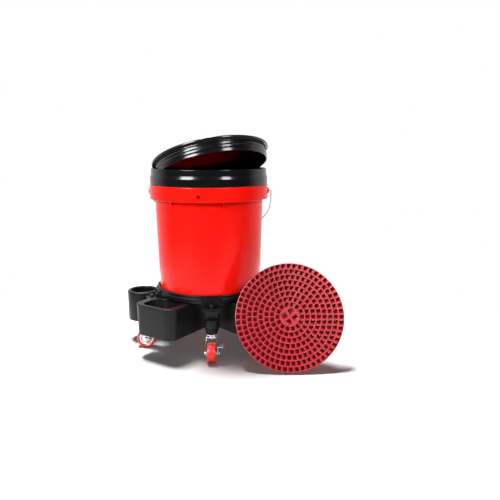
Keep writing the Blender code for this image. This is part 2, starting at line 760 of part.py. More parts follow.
def make_guard(group, crimson):
    """The disc lies in its own XY plane, its face at z = 0, and its thickness runs to -z."""
    bm = bmesh.new()
    rim = []
    for step in range(60):
        angle = 2 * math.pi * step / 60
        rim.append(bm.verts.new((GUARD_R * math.cos(angle) * MM, GUARD_R * math.sin(angle) * MM, 0)))
    loops = [rim] + guard_holes(bm)
    edges = []
    for loop in loops:
        edges += [bm.edges.new((loop[i - 1], loop[i])) for i in range(len(loop))]
    bmesh.ops.triangle_fill(bm, use_beauty=True, edges=edges, normal=(0, 0, 1))
    lower = bmesh.ops.extrude_face_region(bm, geom=list(bm.faces))["geom"]
    moved = [item for item in lower if isinstance(item, bmesh.types.BMVert)]
    bmesh.ops.translate(bm, verts=moved, vec=(0, 0, -GUARD_THICK * MM))
    centre_z = GUARD_R * math.cos(GUARD_LEAN) + GUARD_THICK * math.sin(GUARD_LEAN)
    place = (*GUARD_CENTRE, centre_z)
    tilt = (math.pi / 2 - GUARD_LEAN, 0, 0)
    guard = solid("grit_guard", bm, crimson, group, place, tilt)
    vanes = bmesh.new()
    for quarter in range(4):
        place = turn(45 + 90 * quarter)
        low = -GUARD_THICK - VANE_DEPTH
        add_box(vanes, VANE_REACH, (-VANE_THICK / 2, VANE_THICK / 2), (low, -GUARD_THICK + 3), place)
    combine(guard, vanes, "UNION", "guard_vanes")


def main():
    clear_scene()
    bucket_red = finish("bucket_red", (0.80, 0.03, 0.015), 0.28)
    lid_black = finish("lid_black", (0.012, 0.012, 0.014), 0.2)
    deck_black = finish("deck_black", (0.018, 0.018, 0.020), 0.5)
    guard_crimson = finish("guard_crimson", (0.42, 0.01, 0.03), 0.3)
    tyre_red = finish("tyre_red", (0.75, 0.05, 0.02), 0.4)
    hub_white = finish("hub_white", (0.80, 0.80, 0.78), 0.4)
    chrome = finish("chrome", (0.80, 0.80, 0.82), 0.15, 1.0)
    wire_steel = finish("wire_steel", (0.55, 0.55, 0.56), 0.35, 1.0)
    rubber = finish("seal_rubber", (0.02, 0.02, 0.02), 0.7)

    group = empty("wash_bucket", location=(*ORIGIN_SHIFT, 0.0))
    make_bucket(group, bucket_red)
    make_bail(group, wire_steel, lid_black)
    make_ring(group, lid_black, rubber)
    make_lid(group, lid_black, rubber)
    make_deck(group, deck_black)
    make_pod(group, deck_black, "pod_left", POD_TURN, 1)
    make_pod(group, deck_black, "pod_right", mirrored_turn(POD_TURN), -1)
    make_cup(group, deck_black, "cup_holder_left", CUP_TURN)
    make_cup(group, deck_black, "cup_holder_right", mirrored_turn(CUP_TURN))
    make_bolts(group, wire_steel)
    for index in range(len(CASTER_TURNS)):
        make_caster(group, index, (deck_black, chrome, tyre_red, hub_white))
    make_guard(group, guard_crimson)


main()
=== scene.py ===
# %% [markdown]
# # A wash bucket on its dolly
#
# A red pail with a loose black screw lid stands on a black five-caster dolly. Two tool pods and two
# cup holders hang from the dolly's rim, and a crimson grit guard leans on one of the pods. The
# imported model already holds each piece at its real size. This lesson gives every piece the fine
# shape and the finish that a step-away look at the real object shows.

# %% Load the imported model
import math

import bmesh
import bpy
from mathutils import Matrix, Vector


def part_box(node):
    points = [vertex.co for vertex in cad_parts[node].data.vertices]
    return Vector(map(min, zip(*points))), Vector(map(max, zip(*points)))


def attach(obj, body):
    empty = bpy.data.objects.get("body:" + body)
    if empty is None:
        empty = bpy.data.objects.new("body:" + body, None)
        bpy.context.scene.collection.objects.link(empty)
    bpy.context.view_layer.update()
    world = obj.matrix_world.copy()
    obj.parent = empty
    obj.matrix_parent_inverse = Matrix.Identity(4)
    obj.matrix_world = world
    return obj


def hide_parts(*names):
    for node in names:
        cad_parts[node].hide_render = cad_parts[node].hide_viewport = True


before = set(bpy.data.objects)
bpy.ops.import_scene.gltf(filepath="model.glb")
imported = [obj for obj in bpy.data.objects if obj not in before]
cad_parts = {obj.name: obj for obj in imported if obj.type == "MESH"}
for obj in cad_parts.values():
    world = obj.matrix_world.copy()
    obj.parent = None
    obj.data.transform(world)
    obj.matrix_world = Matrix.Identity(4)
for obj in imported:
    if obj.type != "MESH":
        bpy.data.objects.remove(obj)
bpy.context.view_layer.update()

# %% [markdown]
# ## Millimetres around the pail's own axis
#
# A pail is a turned shape, so nearly everything here is easiest to place from its centre line.
# Sizes are typed in millimetres, as on a drawing, and only the finished mesh is turned into
# metres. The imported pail's box says where the axis stands, so nothing is placed by eye.

# %% Units and the pail's axis
MM = 0.001
pail_low, pail_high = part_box("bucket")
AXIS_X = (pail_low.x + pail_high.x) / 2 / MM
AXIS_Y = (pail_low.y + pail_high.y) / 2 / MM
HOME = Matrix.Translation((AXIS_X, AXIS_Y, 0))
FINE = 160  # steps round a large turned piece
SMALL = 40  # steps round a small one


def turn(degrees, axis="Z"):
    return Matrix.Rotation(math.radians(degrees), 4, axis)


def shift(x, y, z):
    return Matrix.Translation((x, y, z))


print("the pail's axis stands at", round(AXIS_X, 1), round(AXIS_Y, 1), "mm")

# %% [markdown]
# ## Outlines with rounded corners
#
# Moulded plastic has no sharp corner, and the thin bright line along each edge is what tells the
# eye so. A Bevel modifier could round every edge alike. Here each corner of an outline carries
# its own radius instead, so that a heavy shoulder and a crisp lip can sit on one profile.

# %% Rounded outlines


def soft(corners, ring=True, steps=5):
    """Corners are (x, y) or (x, y, radius), and each one with a radius becomes an arc."""
    points = []
    for i, corner in enumerate(corners):
        here = Vector(corner[:2])
        at_end = not ring and i in (0, len(corners) - 1)
        if len(corner) == 2 or at_end:
            points.append((here.x, here.y))
            continue
        back = Vector(corners[i - 1][:2]) - here
        ahead = Vector(corners[(i + 1) % len(corners)][:2]) - here
        half = back.angle(ahead) / 2
        reach = min(corner[2] / math.tan(half), 0.49 * back.length, 0.49 * ahead.length)
        centre = here + (back.normalized() + ahead.normalized()).normalized() * reach / math.cos(half)
        first = here + back.normalized() * reach - centre
        last = here + ahead.normalized() * reach - centre
        start = math.atan2(first.y, first.x)
        sweep = (math.atan2(last.y, last.x) - start + math.pi) % (2 * math.pi) - math.pi
        for step in range(steps + 1):
            angle = start + sweep * step / steps
            points.append((centre.x + first.length * math.cos(angle),
                           centre.y + first.length * math.sin(angle)))
    return points


def rectangle(left, right, near, far, *radii):
    """Corners near left, near right, far right, far left, with a radius each."""
    places = ((left, near), (right, near), (right, far), (left, far))
    return soft([(*place, radius) for place, radius in zip(places, radii)], steps=8)


print("a square with rounded corners has", len(rectangle(-1, 1, -1, 1, 0.2, 0.2, 0.2, 0.2)), "points")

# %% [markdown]
# ## Growing a shape from loops
#
# Turned, extruded and swept forms are all the same thing: a stack of loops with faces between
# them. One small class keeps the points and faces, and each kind of form only has to say where
# its loops are.

# %% A shape made of loops


class Shape:
    """Points in millimetres with faces between them."""

    def __init__(self):
        self.points = []
        self.faces = []

    def stack(self, loops, place=Matrix(), closed=False, caps=False):
        """Faces between each loop and the next, and from the last to the first if closed."""
        start = len(self.points)
        size = len(loops[0])
        for loop in loops:
            self.points += [place @ Vector(point) for point in loop]
        for i in range(len(loops) if closed else len(loops) - 1):
            low = start + i * size
            high = start + (i + 1) % len(loops) * size
            for j in range(size):
                k = (j + 1) % size
                self.faces.append((low + j, low + k, high + k, high + j))
        if caps:
            self.faces.append(tuple(range(start, start + size)))
            last = start + (len(loops) - 1) * size
            self.faces.append(tuple(range(last, last + size)))
        return self

    def lathe(self, profile, steps=FINE, place=Matrix(), ring=False, push=None):
        """Turn an (r, z) profile about Z. push(r, z, turn) may move a point out or in."""
        loops = []
        for r, z in profile:
            loop = []
            for step in range(steps):
                angle = 2 * math.pi * step / steps
                out = push(r, z, step / steps) if push else r
                loop.append((out * math.cos(angle), out * math.sin(angle), z))
            loops.append(loop)
        return self.stack(loops, place, closed=ring)

    def prism(self, outline, low, high, place=Matrix()):
        return self.stack([[(x, y, z) for x, y in outline] for z in (low, high)], place, caps=True)

    def tube(self, path, radius, steps=12, place=Matrix()):
        """A round rod along a path, its rings carried along without twisting."""
        path = [Vector(point) for point in path]
        side = Vector((0, 0, 1))
        loops = []
        for i, point in enumerate(path):
            along = (path[min(i + 1, len(path) - 1)] - path[max(i - 1, 0)]).normalized()
            side = (side - along * side.dot(along)).normalized()
            other = along.cross(side)
            loop = []
            for step in range(steps):
                angle = 2 * math.pi * step / steps
                loop.append(point + side * radius * math.cos(angle) + other * radius * math.sin(angle))
            loops.append(loop)
        return self.stack(loops, place, caps=True)


print("a tube of two points has", len(Shape().tube([(0, 0, 0), (1, 0, 0)], 1).faces), "faces")

# %% [markdown]
# ## From a shape to a finished piece
#
# A finished piece is a plain mesh whose object sits at the origin. Modifiers are welcome on the
# way, for a bevel or a union, but their result is taken over at once. Last of all a piece says
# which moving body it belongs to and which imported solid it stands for.

# %% Making, bevelling and joining meshes


def smooth(obj, angle=35):
    obj.data.shade_smooth()
    obj.data.set_sharp_from_angle(angle=math.radians(angle))


def model(name, shape, place=HOME):
    """A mesh object in metres, welded and with its faces pointing out."""
    mesh = bpy.data.meshes.new(name)
    mesh.from_pydata([place @ point * MM for point in shape.points], [], shape.faces)
    bm = bmesh.new()
    bm.from_mesh(mesh)
    bmesh.ops.remove_doubles(bm, verts=bm.verts, dist=0.002 * MM)
    bmesh.ops.recalc_face_normals(bm, faces=bm.faces)
    bm.to_mesh(mesh)
    bm.free()
    obj = bpy.data.objects.new(name, mesh)
    bpy.context.scene.collection.objects.link(obj)
    smooth(obj)
    return obj


def settle(obj):
    """Take over the mesh that the modifiers make, and drop them."""
    view = bpy.context.evaluated_depsgraph_get()
    mesh = bpy.data.meshes.new_from_object(obj.evaluated_get(view))
    obj.modifiers.clear()
    obj.data = mesh
    smooth(obj)


def bevel(obj, width, segments=3):
    modifier = obj.modifiers.new("edges", "BEVEL")
    modifier.width = width * MM
    modifier.segments = segments
    modifier.limit_method = "ANGLE"
    modifier.angle_limit = math.radians(32)
    settle(obj)


def combine(obj, other, operation="UNION"):
    """Join another object to this one, or cut it away. The other is used up."""
    modifier = obj.modifiers.new(operation, "BOOLEAN")
    modifier.operation = operation
    modifier.object = other
    settle(obj)
    bpy.data.objects.remove(other)


def merge(obj, *others):
    """Put objects that only touch into one mesh."""
    bm = bmesh.new()
    for each in (obj, *others):
        bm.from_mesh(each.data)
    bm.to_mesh(obj.data)
    bm.free()
    for other in others:
        bpy.data.objects.remove(other)
    smooth(obj)


def dress(obj, body, material, slot, *nodes):
    """Give a piece its finish and its body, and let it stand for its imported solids."""
    obj.data.materials.clear()
    obj.data.materials.append(material)
    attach(obj, body)
    if nodes:
        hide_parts(*nodes)
    print(f"{obj.name}: {len(obj.data.polygons)} faces")


# %% [markdown]
# ## Nodes written as sums
#
# Shaders and Geometry Nodes are graphs, but a long graph is easier to read as a sum. A Wire is one
# output of a node, and adding or multiplying wires draws the Math nodes that do it. Everything
# else goes through one method that makes a node, sets it and plugs in its sockets.

# %% Wires and graphs


class Wire:
    def __init__(self, graph, socket):
        self.graph = graph
        self.socket = socket

    def maths(self, operation, first, second=0.0, clamp=False):
        settings = {"operation": operation, "use_clamp": clamp}
        return self.graph.node("ShaderNodeMath", settings, {0: first, 1: second})

    def __add__(self, other):
        return self.maths("ADD", self, other)

    def __sub__(self, other):
        return self.maths("SUBTRACT", self, other)

    def __mul__(self, other):
        return self.maths("MULTIPLY", self, other)

    def clipped(self):
        return self.maths("ADD", self, 0.0, clamp=True)

    __radd__ = __add__
    __rmul__ = __mul__


class Graph:
    """A node tree that is being built."""

    def __init__(self, tree):
        self.tree = tree

    def node(self, kind, settings=None, sockets=None, output=0):
        made = self.tree.nodes.new(kind)
        for key, value in (settings or {}).items():
            setattr(made, key, value)
        for key, value in (sockets or {}).items():
            self.feed(made.inputs[key], value)
        return Wire(self, made.outputs[output])

    def feed(self, socket, value):
        if isinstance(value, Wire):
            self.tree.links.new(value.socket, socket)
        else:
            socket.default_value = value


class Finish(Graph):
    """A material around one Principled shader."""

    def __init__(self, name, **fixed):
        self.material = bpy.data.materials.new(name)
        self.material.use_nodes = True
        super().__init__(self.material.node_tree)
        self.shader = self.tree.nodes["Principled BSDF"]
        self.here = self.node("ShaderNodeTexCoord", output="Object")
        for key, value in fixed.items():
            self.shader.inputs[key.replace("_", " ")].default_value = value

    def noise(self, scale, detail=3.0, roughness=0.5, vector=None, output=0):
        sockets = {"Vector": vector or self.here, "Scale": scale, "Detail": detail}
        sockets["Roughness"] = roughness
        return self.node("ShaderNodeTexNoise", None, sockets, output)

    def stretch(self, x, y, z):
        return self.node("ShaderNodeMapping", None, {"Vector": self.here, "Scale": (x, y, z)})

    def blend(self, factor, first, second):
        settings = {"data_type": "RGBA"}
        sockets = {0: factor, 6: (*first, 1.0), 7: (*second, 1.0)}
        return self.node("ShaderNodeMix", settings, sockets, output=2)

    def bumps(self, *layers):
        """Each layer is a height wire and its depth in millimetres."""
        normal = None
        for height, depth in layers:
            sockets = {"Height": height, "Distance": depth * MM, "Strength": 1.0}
            if normal:
                sockets["Normal"] = normal
            normal = self.node("ShaderNodeBump", None, sockets)
        self.feed(self.shader.inputs["Normal"], normal)

    def colour(self, value):
        self.feed(self.shader.inputs["Base Color"], value)

    def roughness(self, value):
        self.feed(self.shader.inputs["Roughness"], value)


# %% [markdown]
# ## Plastics
#
# Nearly everything here is injection-moulded polypropylene. What sets one piece apart from the
# next is its colour, how well the tool was polished, and the handling it has had. Three things
# make it look real: a slow drift of tone from the flow of the melt, a faint haze that varies the
# gloss, and a very shallow waviness in the surface, so that reflections aren't perfectly straight.

# %% Polished and grained plastic


def moulded(name, dark, light, roughness, haze, peel, grain=0.0, grain_scale=2600.0, **fixed):
    """Plastic between two tones. peel and grain are depths in millimetres."""
    finish = Finish(name, **fixed)
    drift = finish.noise(7.0, 2.0)
    cloud = finish.noise(45.0, 4.0)
    speck = finish.noise(900.0, 2.0)
    finish.colour(finish.blend((drift * 1.6 - 0.3).clipped(), dark, light))
    finish.roughness((roughness + (cloud - 0.5) * haze + (speck - 0.5) * haze * 0.5).clipped())
    wave = finish.noise(60.0, 2.0)
    layers = [(wave, peel)]
    if grain:
        layers.append((finish.noise(grain_scale, 3.0), grain))
    finish.bumps(*layers)
    return finish.material


PAIL_RED = moulded("pail_red", (0.78, 0.006, 0.003), (0.86, 0.008, 0.004), 0.22, 0.08, 0.08,
                   Specular_IOR_Level=0.18)
GLOSS_BLACK = moulded("gloss_black", (0.003, 0.003, 0.004), (0.006, 0.006, 0.007), 0.17, 0.08, 0.04,
                      Specular_IOR_Level=0.4)
DOLLY_BLACK = moulded("dolly_black", (0.003, 0.003, 0.0035), (0.007, 0.007, 0.008), 0.36, 0.12, 0.03,
                      grain=0.03, Specular_IOR_Level=0.22)
GUARD_CRIMSON = moulded("guard_crimson", (0.30, 0.005, 0.014), (0.38, 0.007, 0.019), 0.36, 0.12, 0.03,
                        Specular_IOR_Level=0.9)
HUB_WHITE = moulded("hub_white", (0.70, 0.70, 0.68), (0.80, 0.80, 0.78), 0.42, 0.12, 0.02)
SEAL_RUBBER = moulded("seal_rubber", (0.008, 0.008, 0.008), (0.018, 0.018, 0.018), 0.7, 0.15, 0.02,
                      grain=0.03)
print("six plastics")

# %% [markdown]
# ## Tyres, chrome and galvanised wire
#
# A polyurethane tyre is a little waxy and picks up dull patches where it rolls. Chrome on pressed
# steel follows the marks of the press, so its gloss varies in fine streaks. A galvanised wire
# shows the flakes of its zinc, which Voronoi cells draw well.

# %% Tyre, chrome and zinc


def tyre_rubber():
    finish = Finish("tyre_red", Coat_Weight=0.5, Coat_Roughness=0.12)
    scuff = finish.noise(160.0, 5.0, 0.6)
    finish.colour(finish.blend((scuff * 1.5 - 0.35).clipped(), (0.62, 0.010, 0.005), (0.50, 0.008, 0.005)))
    finish.roughness((0.30 + scuff * 0.22).clipped())
    finish.bumps((scuff, 0.06), (finish.noise(1500.0), 0.02))
    return finish.material


def plated(name):
    finish = Finish(name, Metallic=1.0)
    streak = finish.noise(90.0, 4.0, 0.6, finish.stretch(1.0, 1.0, 9.0))
    smear = finish.noise(35.0, 3.0)
    finish.colour(finish.blend(smear, (0.50, 0.50, 0.52), (0.66, 0.66, 0.67)))
    finish.roughness((0.08 + smear * 0.12 + streak * 0.10).clipped())
    finish.bumps((streak, 0.02), (smear, 0.05))
    return finish.material


def galvanised(name):
    finish = Finish(name, Metallic=1.0)
    sockets = {"Vector": finish.here, "Scale": 700.0}
    flake = finish.node("ShaderNodeTexVoronoi", None, sockets, "Color")
    tone = finish.node("ShaderNodeSeparateColor", None, {0: flake})
    finish.colour(finish.blend(tone, (0.36, 0.37, 0.38), (0.60, 0.61, 0.62)))
    finish.roughness((0.30 + tone * 0.22).clipped())
    finish.bumps((finish.noise(1200.0), 0.02))
    return finish.material


TYRE_RED = tyre_rubber()
CHROME = plated("chrome")
ZINC = galvanised("wire_steel")
print("a tyre and two metals")

# %% [markdown]
# ## Geometry Nodes that repeat a shape
#
# Ribs, spokes and vanes are one small form made many times. A node tree does that with named
# inputs, and the same tree serves every piece that has something in a circle or in a row.
# The tree ends by making the copies real and giving them their material.

# %% Copies round an axis or along a line


class Recipe(Graph):
    """A Geometry Nodes tree with named inputs."""

    def __init__(self, name, **inputs):
        super().__init__(bpy.data.node_groups.new(name, "GeometryNodeTree"))
        face = self.tree.interface
        face.new_socket("Geometry", in_out="INPUT", socket_type="NodeSocketGeometry")
        for key, value in inputs.items():
            kinds = {int: "NodeSocketInt", float: "NodeSocketFloat", tuple: "NodeSocketVector"}
            made = face.new_socket(key.replace("_", " "), in_out="INPUT", socket_type=kinds[type(value)])
            made.default_value = value
        face.new_socket("Finish", in_out="INPUT", socket_type="NodeSocketMaterial")
        face.new_socket("Geometry", in_out="OUTPUT", socket_type="NodeSocketGeometry")
        self.inward = self.tree.nodes.new("NodeGroupInput")
        self.outward = self.tree.nodes.new("NodeGroupOutput")

    def given(self, name):
        return Wire(self, self.inward.outputs[name])

    def close(self, geometry):
        real = self.node("GeometryNodeRealizeInstances", None, {0: geometry})
        sockets = {"Geometry": real, "Material": self.given("Finish")}
        painted = self.node("GeometryNodeSetMaterial", None, sockets)
        self.tree.links.new(painted.socket, self.outward.inputs[0])
        return self.tree

    @staticmethod
    def cook(obj, tree, material, **values):
        """Run a tree on an object with these inputs, and keep the mesh that comes out."""
        modifier = obj.modifiers.new(tree.name, "NODES")
        modifier.node_group = tree
        values["Finish"] = material
        for item in tree.interface.items_tree:
            key = item.name.replace(" ", "_")
            if item.in_out == "INPUT" and key in values:
                modifier[item.identifier] = values[key]
        settle(obj)


def copies_tree():
    """The object's own mesh again and again: each copy turned and moved on by one step."""
    recipe = Recipe("copies", Count=8, Step_turn=0.0, Step_move=(0.0, 0.0, 0.0), Centre=(0.0, 0.0, 0.0),
                    First_turn=0.0)
    line = recipe.node("GeometryNodeMeshLine", None, {"Count": recipe.given("Count"),
                                                     "Start Location": (0, 0, 0),
                                                     "Offset": recipe.given("Step move")})
    index = recipe.node("GeometryNodeInputIndex")
    angle = index * recipe.given("Step turn") + recipe.given("First turn")
    spin = recipe.node("ShaderNodeCombineXYZ", None, {"Z": angle})
    copies = recipe.node("GeometryNodeInstanceOnPoints", None,
                         {"Points": line, "Instance": recipe.given("Geometry"), "Rotation": spin})
    moved = recipe.node("GeometryNodeTransform", None,
                        {"Geometry": copies, "Translation": recipe.given("Centre")})
    return recipe.close(moved)


COPIES = copies_tree()


def around(name, shape, count, material, place=HOME, first=0.0):
    """Copies of a shape in a full circle about its own Z axis, then put in place."""
    obj = model(name, shape, Matrix())
    Recipe.cook(obj, COPIES, material, Count=count, Step_turn=2 * math.pi / count,
                First_turn=math.radians(first))
    obj.data.transform(Matrix.Translation(place.translation * MM) @ place.to_3x3().to_4x4())
    return obj


print("the tree has", len(COPIES.nodes), "nodes")

# %% [markdown]
# ## The pail
#
# A pail is one turned wall with a wide collar hanging round its top like a skirt. The collar
# stiffens the mouth, and it is what the handle hangs from. The profile is drawn once, up the
# outside and down the inside, and turned.

# %% Pail sizes
BASE_Z = pail_low.z / MM
RIM_Z = pail_high.z / MM
BASE_R, TOP_R, TOP_Z, WALL = 138.2, 146.6, 434.0, 2.5
BAND_R, BAND_LOW, BAND_HIGH = 159.0, 403.0, 440.0
RIM_R = 155.6
PIVOT_Z = 422.0
FLOOR_Z = BASE_Z + 5


def pail_profile():
    band_in = BAND_R - 2.2
    outside = [(0, BASE_Z + 2.5), (130.5, BASE_Z + 2.5, 1), (132.5, BASE_Z, 1),
               (BASE_R - 1.5, BASE_Z, 1.5), (BASE_R + 0.1, BASE_Z + 5, 3), (TOP_R, TOP_Z, 2),
               (band_in, TOP_Z, 2), (band_in, BAND_LOW, 0.8), (BAND_R, BAND_LOW, 1.0),
               (BAND_R, BAND_HIGH, 2.2), (RIM_R, BAND_HIGH, 0.5), (RIM_R, RIM_Z, 1.1)]
    inside = [(RIM_R - WALL, RIM_Z, 1.1), (RIM_R - WALL, TOP_Z + WALL, 1.5),
              (TOP_R - WALL, TOP_Z + WALL, 2.5), (BASE_R - WALL, FLOOR_Z, 7), (0, FLOOR_Z)]
    return soft(outside + inside, ring=False)


pail = model("bucket_shell", Shape().lathe(pail_profile()))

# %% [markdown]
# Thin gussets under the collar tie it to the wall, and round bosses carry the ends of the handle.
# The bores are cut from the turned wall alone, while it is one clean skin. Gussets and bosses sink
# a little way into it, so they can simply be put into the same mesh.

# %% Gussets, ears and holes
GUSSET_TURNS = (-35.0, 17.0, 145.0, 197.0)
GUSSET_SIDE = ((144.5, 388), (146.2, 388), (157.4, 403.6), (157.4, 435), (144.5, 435))
HOLE_TURNS = (-5.4, 174.6)

gussets = Shape()
for degrees in GUSSET_TURNS:
    gussets.stack([[(x, -r, z) for r, z in GUSSET_SIDE] for x in (-0.7, 0.7)], turn(degrees), caps=True)

ears = Shape()
wire_bores = Shape()
band_bores = Shape()
for side in (-90, 90):
    facing = shift(0, 0, PIVOT_Z) @ turn(side, "Y")
    ears.lathe(soft([(2.2, 156.2), (8, 156.2), (8, 162.5, 1.6), (2.2, 162.5, 0.5)]), SMALL, facing, ring=True)
    wire_bores.lathe([(0, 150), (2.2, 150), (2.2, 160), (0, 160)], SMALL, facing)
for degrees in HOLE_TURNS:
    facing = turn(degrees) @ shift(0, 0, 417.6) @ turn(90, "X")
    band_bores.lathe([(0, 152), (5, 152), (5, 163), (0, 163)], SMALL, facing)
combine(pail, model("wire_bores", wire_bores), "DIFFERENCE")
combine(pail, model("band_bores", band_bores), "DIFFERENCE")
merge(pail, model("ears", ears), model("gussets", gussets))
dress(pail, "bucket", PAIL_RED, "bucket_red", "bucket")

# %% [markdown]
# ## The lid ring
#
# The black ring snaps over the pail's rim and has a screw thread inside. A thread is a groove
# whose height climbs as it goes round. Because the groove repeats once per pitch, it can be a
# simple formula in height and turn, and the seam closes on itself.

# %% Threads by formula
RING_TOP, RING_R, RING_NECK_R, RING_BORE_R = 483.0, 158.0, 155.0, 150.5
PITCH = 8.0


def tooth(phase):
    """A rounded ridge, 0 to 1, once in each whole number."""
    gap = abs((phase + 0.5) % 1 - 0.5)
    return max(0.0, 1 - (gap / 0.2) ** 2)


def fade(z, low, high, run=3.0):
    return max(0.0, min(1.0, (z - low) / run, (high - z) / run))


def rungs(r, start, stop, step=0.8):
    """Closely spaced points up or down a straight wall, for a thread to push."""
    count = round(abs(stop - start) / step)
    return [(r, start + (stop - start) * i / count) for i in range(count + 1)]


def groove(r, z, around_turn):
    if abs(r - RING_BORE_R) > 0.01:
        return r
    return r + 1.4 * tooth(z / PITCH - around_turn) * fade(z, 446, 479)


seat_z = RIM_Z + 1.8
skirt_z = BAND_HIGH + 0.3
outside = soft([(RIM_R + 0.3, seat_z), (RIM_R + 0.3, skirt_z, 0.4), (RING_R, skirt_z, 1.0),
                (RING_R, 459.5, 6.0), (RING_NECK_R + 0.3, 467.5, 3.5), (RING_NECK_R, RING_TOP, 1.5),
                (RING_BORE_R, RING_TOP, 1.0), (RING_BORE_R, 480)], ring=False)
bore = rungs(RING_BORE_R, 479.5, 444) + [(RING_BORE_R, skirt_z + 1), (RING_BORE_R + 0.8, skirt_z)]
under = [(RING_BORE_R + 2.3, skirt_z), (RING_BORE_R + 2.3, seat_z)]
ring = model("lid_ring_turned", Shape().lathe(outside + bore + under, ring=True, push=groove))
dress(ring, "bucket", GLOSS_BLACK, "lid_black", "lid_ring")


def seal_ring(name, inner, outer, low, high, place=HOME):
    profile = soft([(inner, low, 0.5), (outer, low, 0.5), (outer, high, 0.5), (inner, high, 0.5)])
    return model(name, Shape().lathe(profile, ring=True), place)


gasket = seal_ring("ring_seal", RIM_R - WALL + 0.4, RIM_R - 0.2, RIM_Z + 0.3, seat_z - 0.3)
dress(gasket, "bucket", SEAL_RUBBER, "seal_rubber", "ring_gasket")

# %% [markdown]
# ## The screw lid
#
# The lid lies loose in the mouth, its front and right side raised, so its whole outside thread and
# a part of its underside show. Its middle is a shallow dish with a bar to grip. It is modelled
# level and then tilted as one.

# %% The lid's turned shell
LID_R, LID_SKIRT_R, LID_CREST, LID_DEPTH = 157.0, 148.4, 1.4, 33.4
LID_POSE = HOME @ shift(4.7, -7.2, 511.6) @ turn(-11.3, "Y") @ turn(-16.7, "X")


def ridge(r, z, around_turn):
    if abs(r - LID_SKIRT_R) > 0.01:
        return r
    return r + LID_CREST * tooth((z + 21) / PITCH - around_turn + 0.25) * fade(z, -27, -7)


lid_top = soft([(0, -5), (129.5, -5, 2), (132.5, 3, 2), (LID_R, 3, 2.2), (LID_R, -3, 1.8),
                (LID_SKIRT_R + 0.01, -3)], ring=False)
lid_wall = rungs(LID_SKIRT_R, -4.5, -LID_DEPTH + 1.5)
lid_under = soft([(LID_SKIRT_R, -LID_DEPTH + 1), (LID_SKIRT_R, -LID_DEPTH, 1),
                  (LID_SKIRT_R - 2.6, -LID_DEPTH, 1), (LID_SKIRT_R - 2.6, 0.2, 1.5),
                  (135, 0.2, 1.5), (132, -7.8, 1.5), (0, -7.8)], ring=False)
lid = model("lid_turned", Shape().lathe(lid_top + lid_wall + lid_under, push=ridge), LID_POSE)

bar = model("bar", Shape().prism(rectangle(-78, 78, -9, 9, 8, 8, 8, 8), -5.5, 3), LID_POSE)
bevel(bar, 1.6)
combine(lid, bar)

dress(lid, "lid", GLOSS_BLACK, "lid_black", "screw_lid")

o_ring = seal_ring("lid_seal", LID_SKIRT_R + 0.2, LID_SKIRT_R + 2.4, -5.3, -3.3, LID_POSE)
dress(o_ring, "lid", SEAL_RUBBER, "seal_rubber", "lid_o_ring")

# %% [markdown]
# ## The handle
#
# The bail is one bent wire. It leaves each ear, turns down the pail's side and runs on in a
# half ellipse behind the pail, where a ribbed grip turns on it. A round rod swept along the path
# gives it, and the path is a few arcs, as a wire bender would make them.

# %% Bail wire and grip
WIRE_R, HALF_WIDTH, LEG, BOW, DROP = 1.7, 169.0, 59.0, 142.0, 39.5
LEFT_HALF_WIDTH, LEFT_BOW_WIDTH, BEND_AT = 165.5, 153.5, 34.0
GRIP_HALF = 46.0
BAIL_PLACE = HOME @ shift(0, 0, PIVOT_Z) @ turn(-DROP, "X")


def half_wire(width, bow_width):
    corners = [(151.6, -9), (151.6, 0, 3.5), (width, 0, 3.5)]
    if bow_width < width:
        corners.append((width - 1.5, BEND_AT, 12))
    points = soft(corners + [(bow_width, LEG)], ring=False)
    flat = GRIP_HALF + 2
    for step in range(1, 41):
        angle = math.radians(90 * step / 40)
        points.append((flat + (bow_width - flat) * math.cos(angle), LEG + BOW * math.sin(angle)))
    return points


left_half = half_wire(LEFT_HALF_WIDTH, LEFT_BOW_WIDTH)
wire_path = half_wire(HALF_WIDTH, HALF_WIDTH) + [(-x, y) for x, y in reversed(left_half)]
bail = model("bail", Shape().tube([(x, y, 0) for x, y in wire_path], WIRE_R), BAIL_PLACE)
dress(bail, "bail", ZINC, "wire_steel", "bail_wire")

GRIP_PLACE = BAIL_PLACE @ shift(0, LEG + BOW, 0) @ turn(90, "Y")
grip_profile = [(2.1, -GRIP_HALF, 0.5), (9.5, -GRIP_HALF, 1.5), (10.9, -GRIP_HALF + 3, 1.5),
                (9.0, -GRIP_HALF + 10, 4)]
grip_profile += [(r, -z, radius) for r, z, radius in reversed(grip_profile)]
grip = model("grip", Shape().lathe(soft(grip_profile), SMALL, ring=True), GRIP_PLACE)
grip_ring = soft([(8.6, -1.1), (9.6, -1.1, 0.5), (9.6, 1.1, 0.5), (8.6, 1.1)])
grip_ribs = model("grip_ribs", Shape().lathe(grip_ring, SMALL, shift(0, 0, -28), ring=True), Matrix())
Recipe.cook(grip_ribs, COPIES, GLOSS_BLACK, Count=15, Step_move=(0.0, 0.0, 4.0 * MM))
grip_ribs.data.transform(Matrix.Translation(GRIP_PLACE.translation * MM) @ GRIP_PLACE.to_3x3().to_4x4())
merge(grip, grip_ribs)
dress(grip, "grip", GLOSS_BLACK, "lid_black", "bail_grip")

# %% [markdown]
# ## The dolly's deck
#
# The deck is a dish with an upturned rim that the pail's foot drops into. Five heavy legs stand
# out from it, one over each caster. Each leg is a block that narrows downwards under a flange,
# so it is a stack of loops with cut corners. A neck ties it to the rim, and a flat panel stands
# on the rim above it.

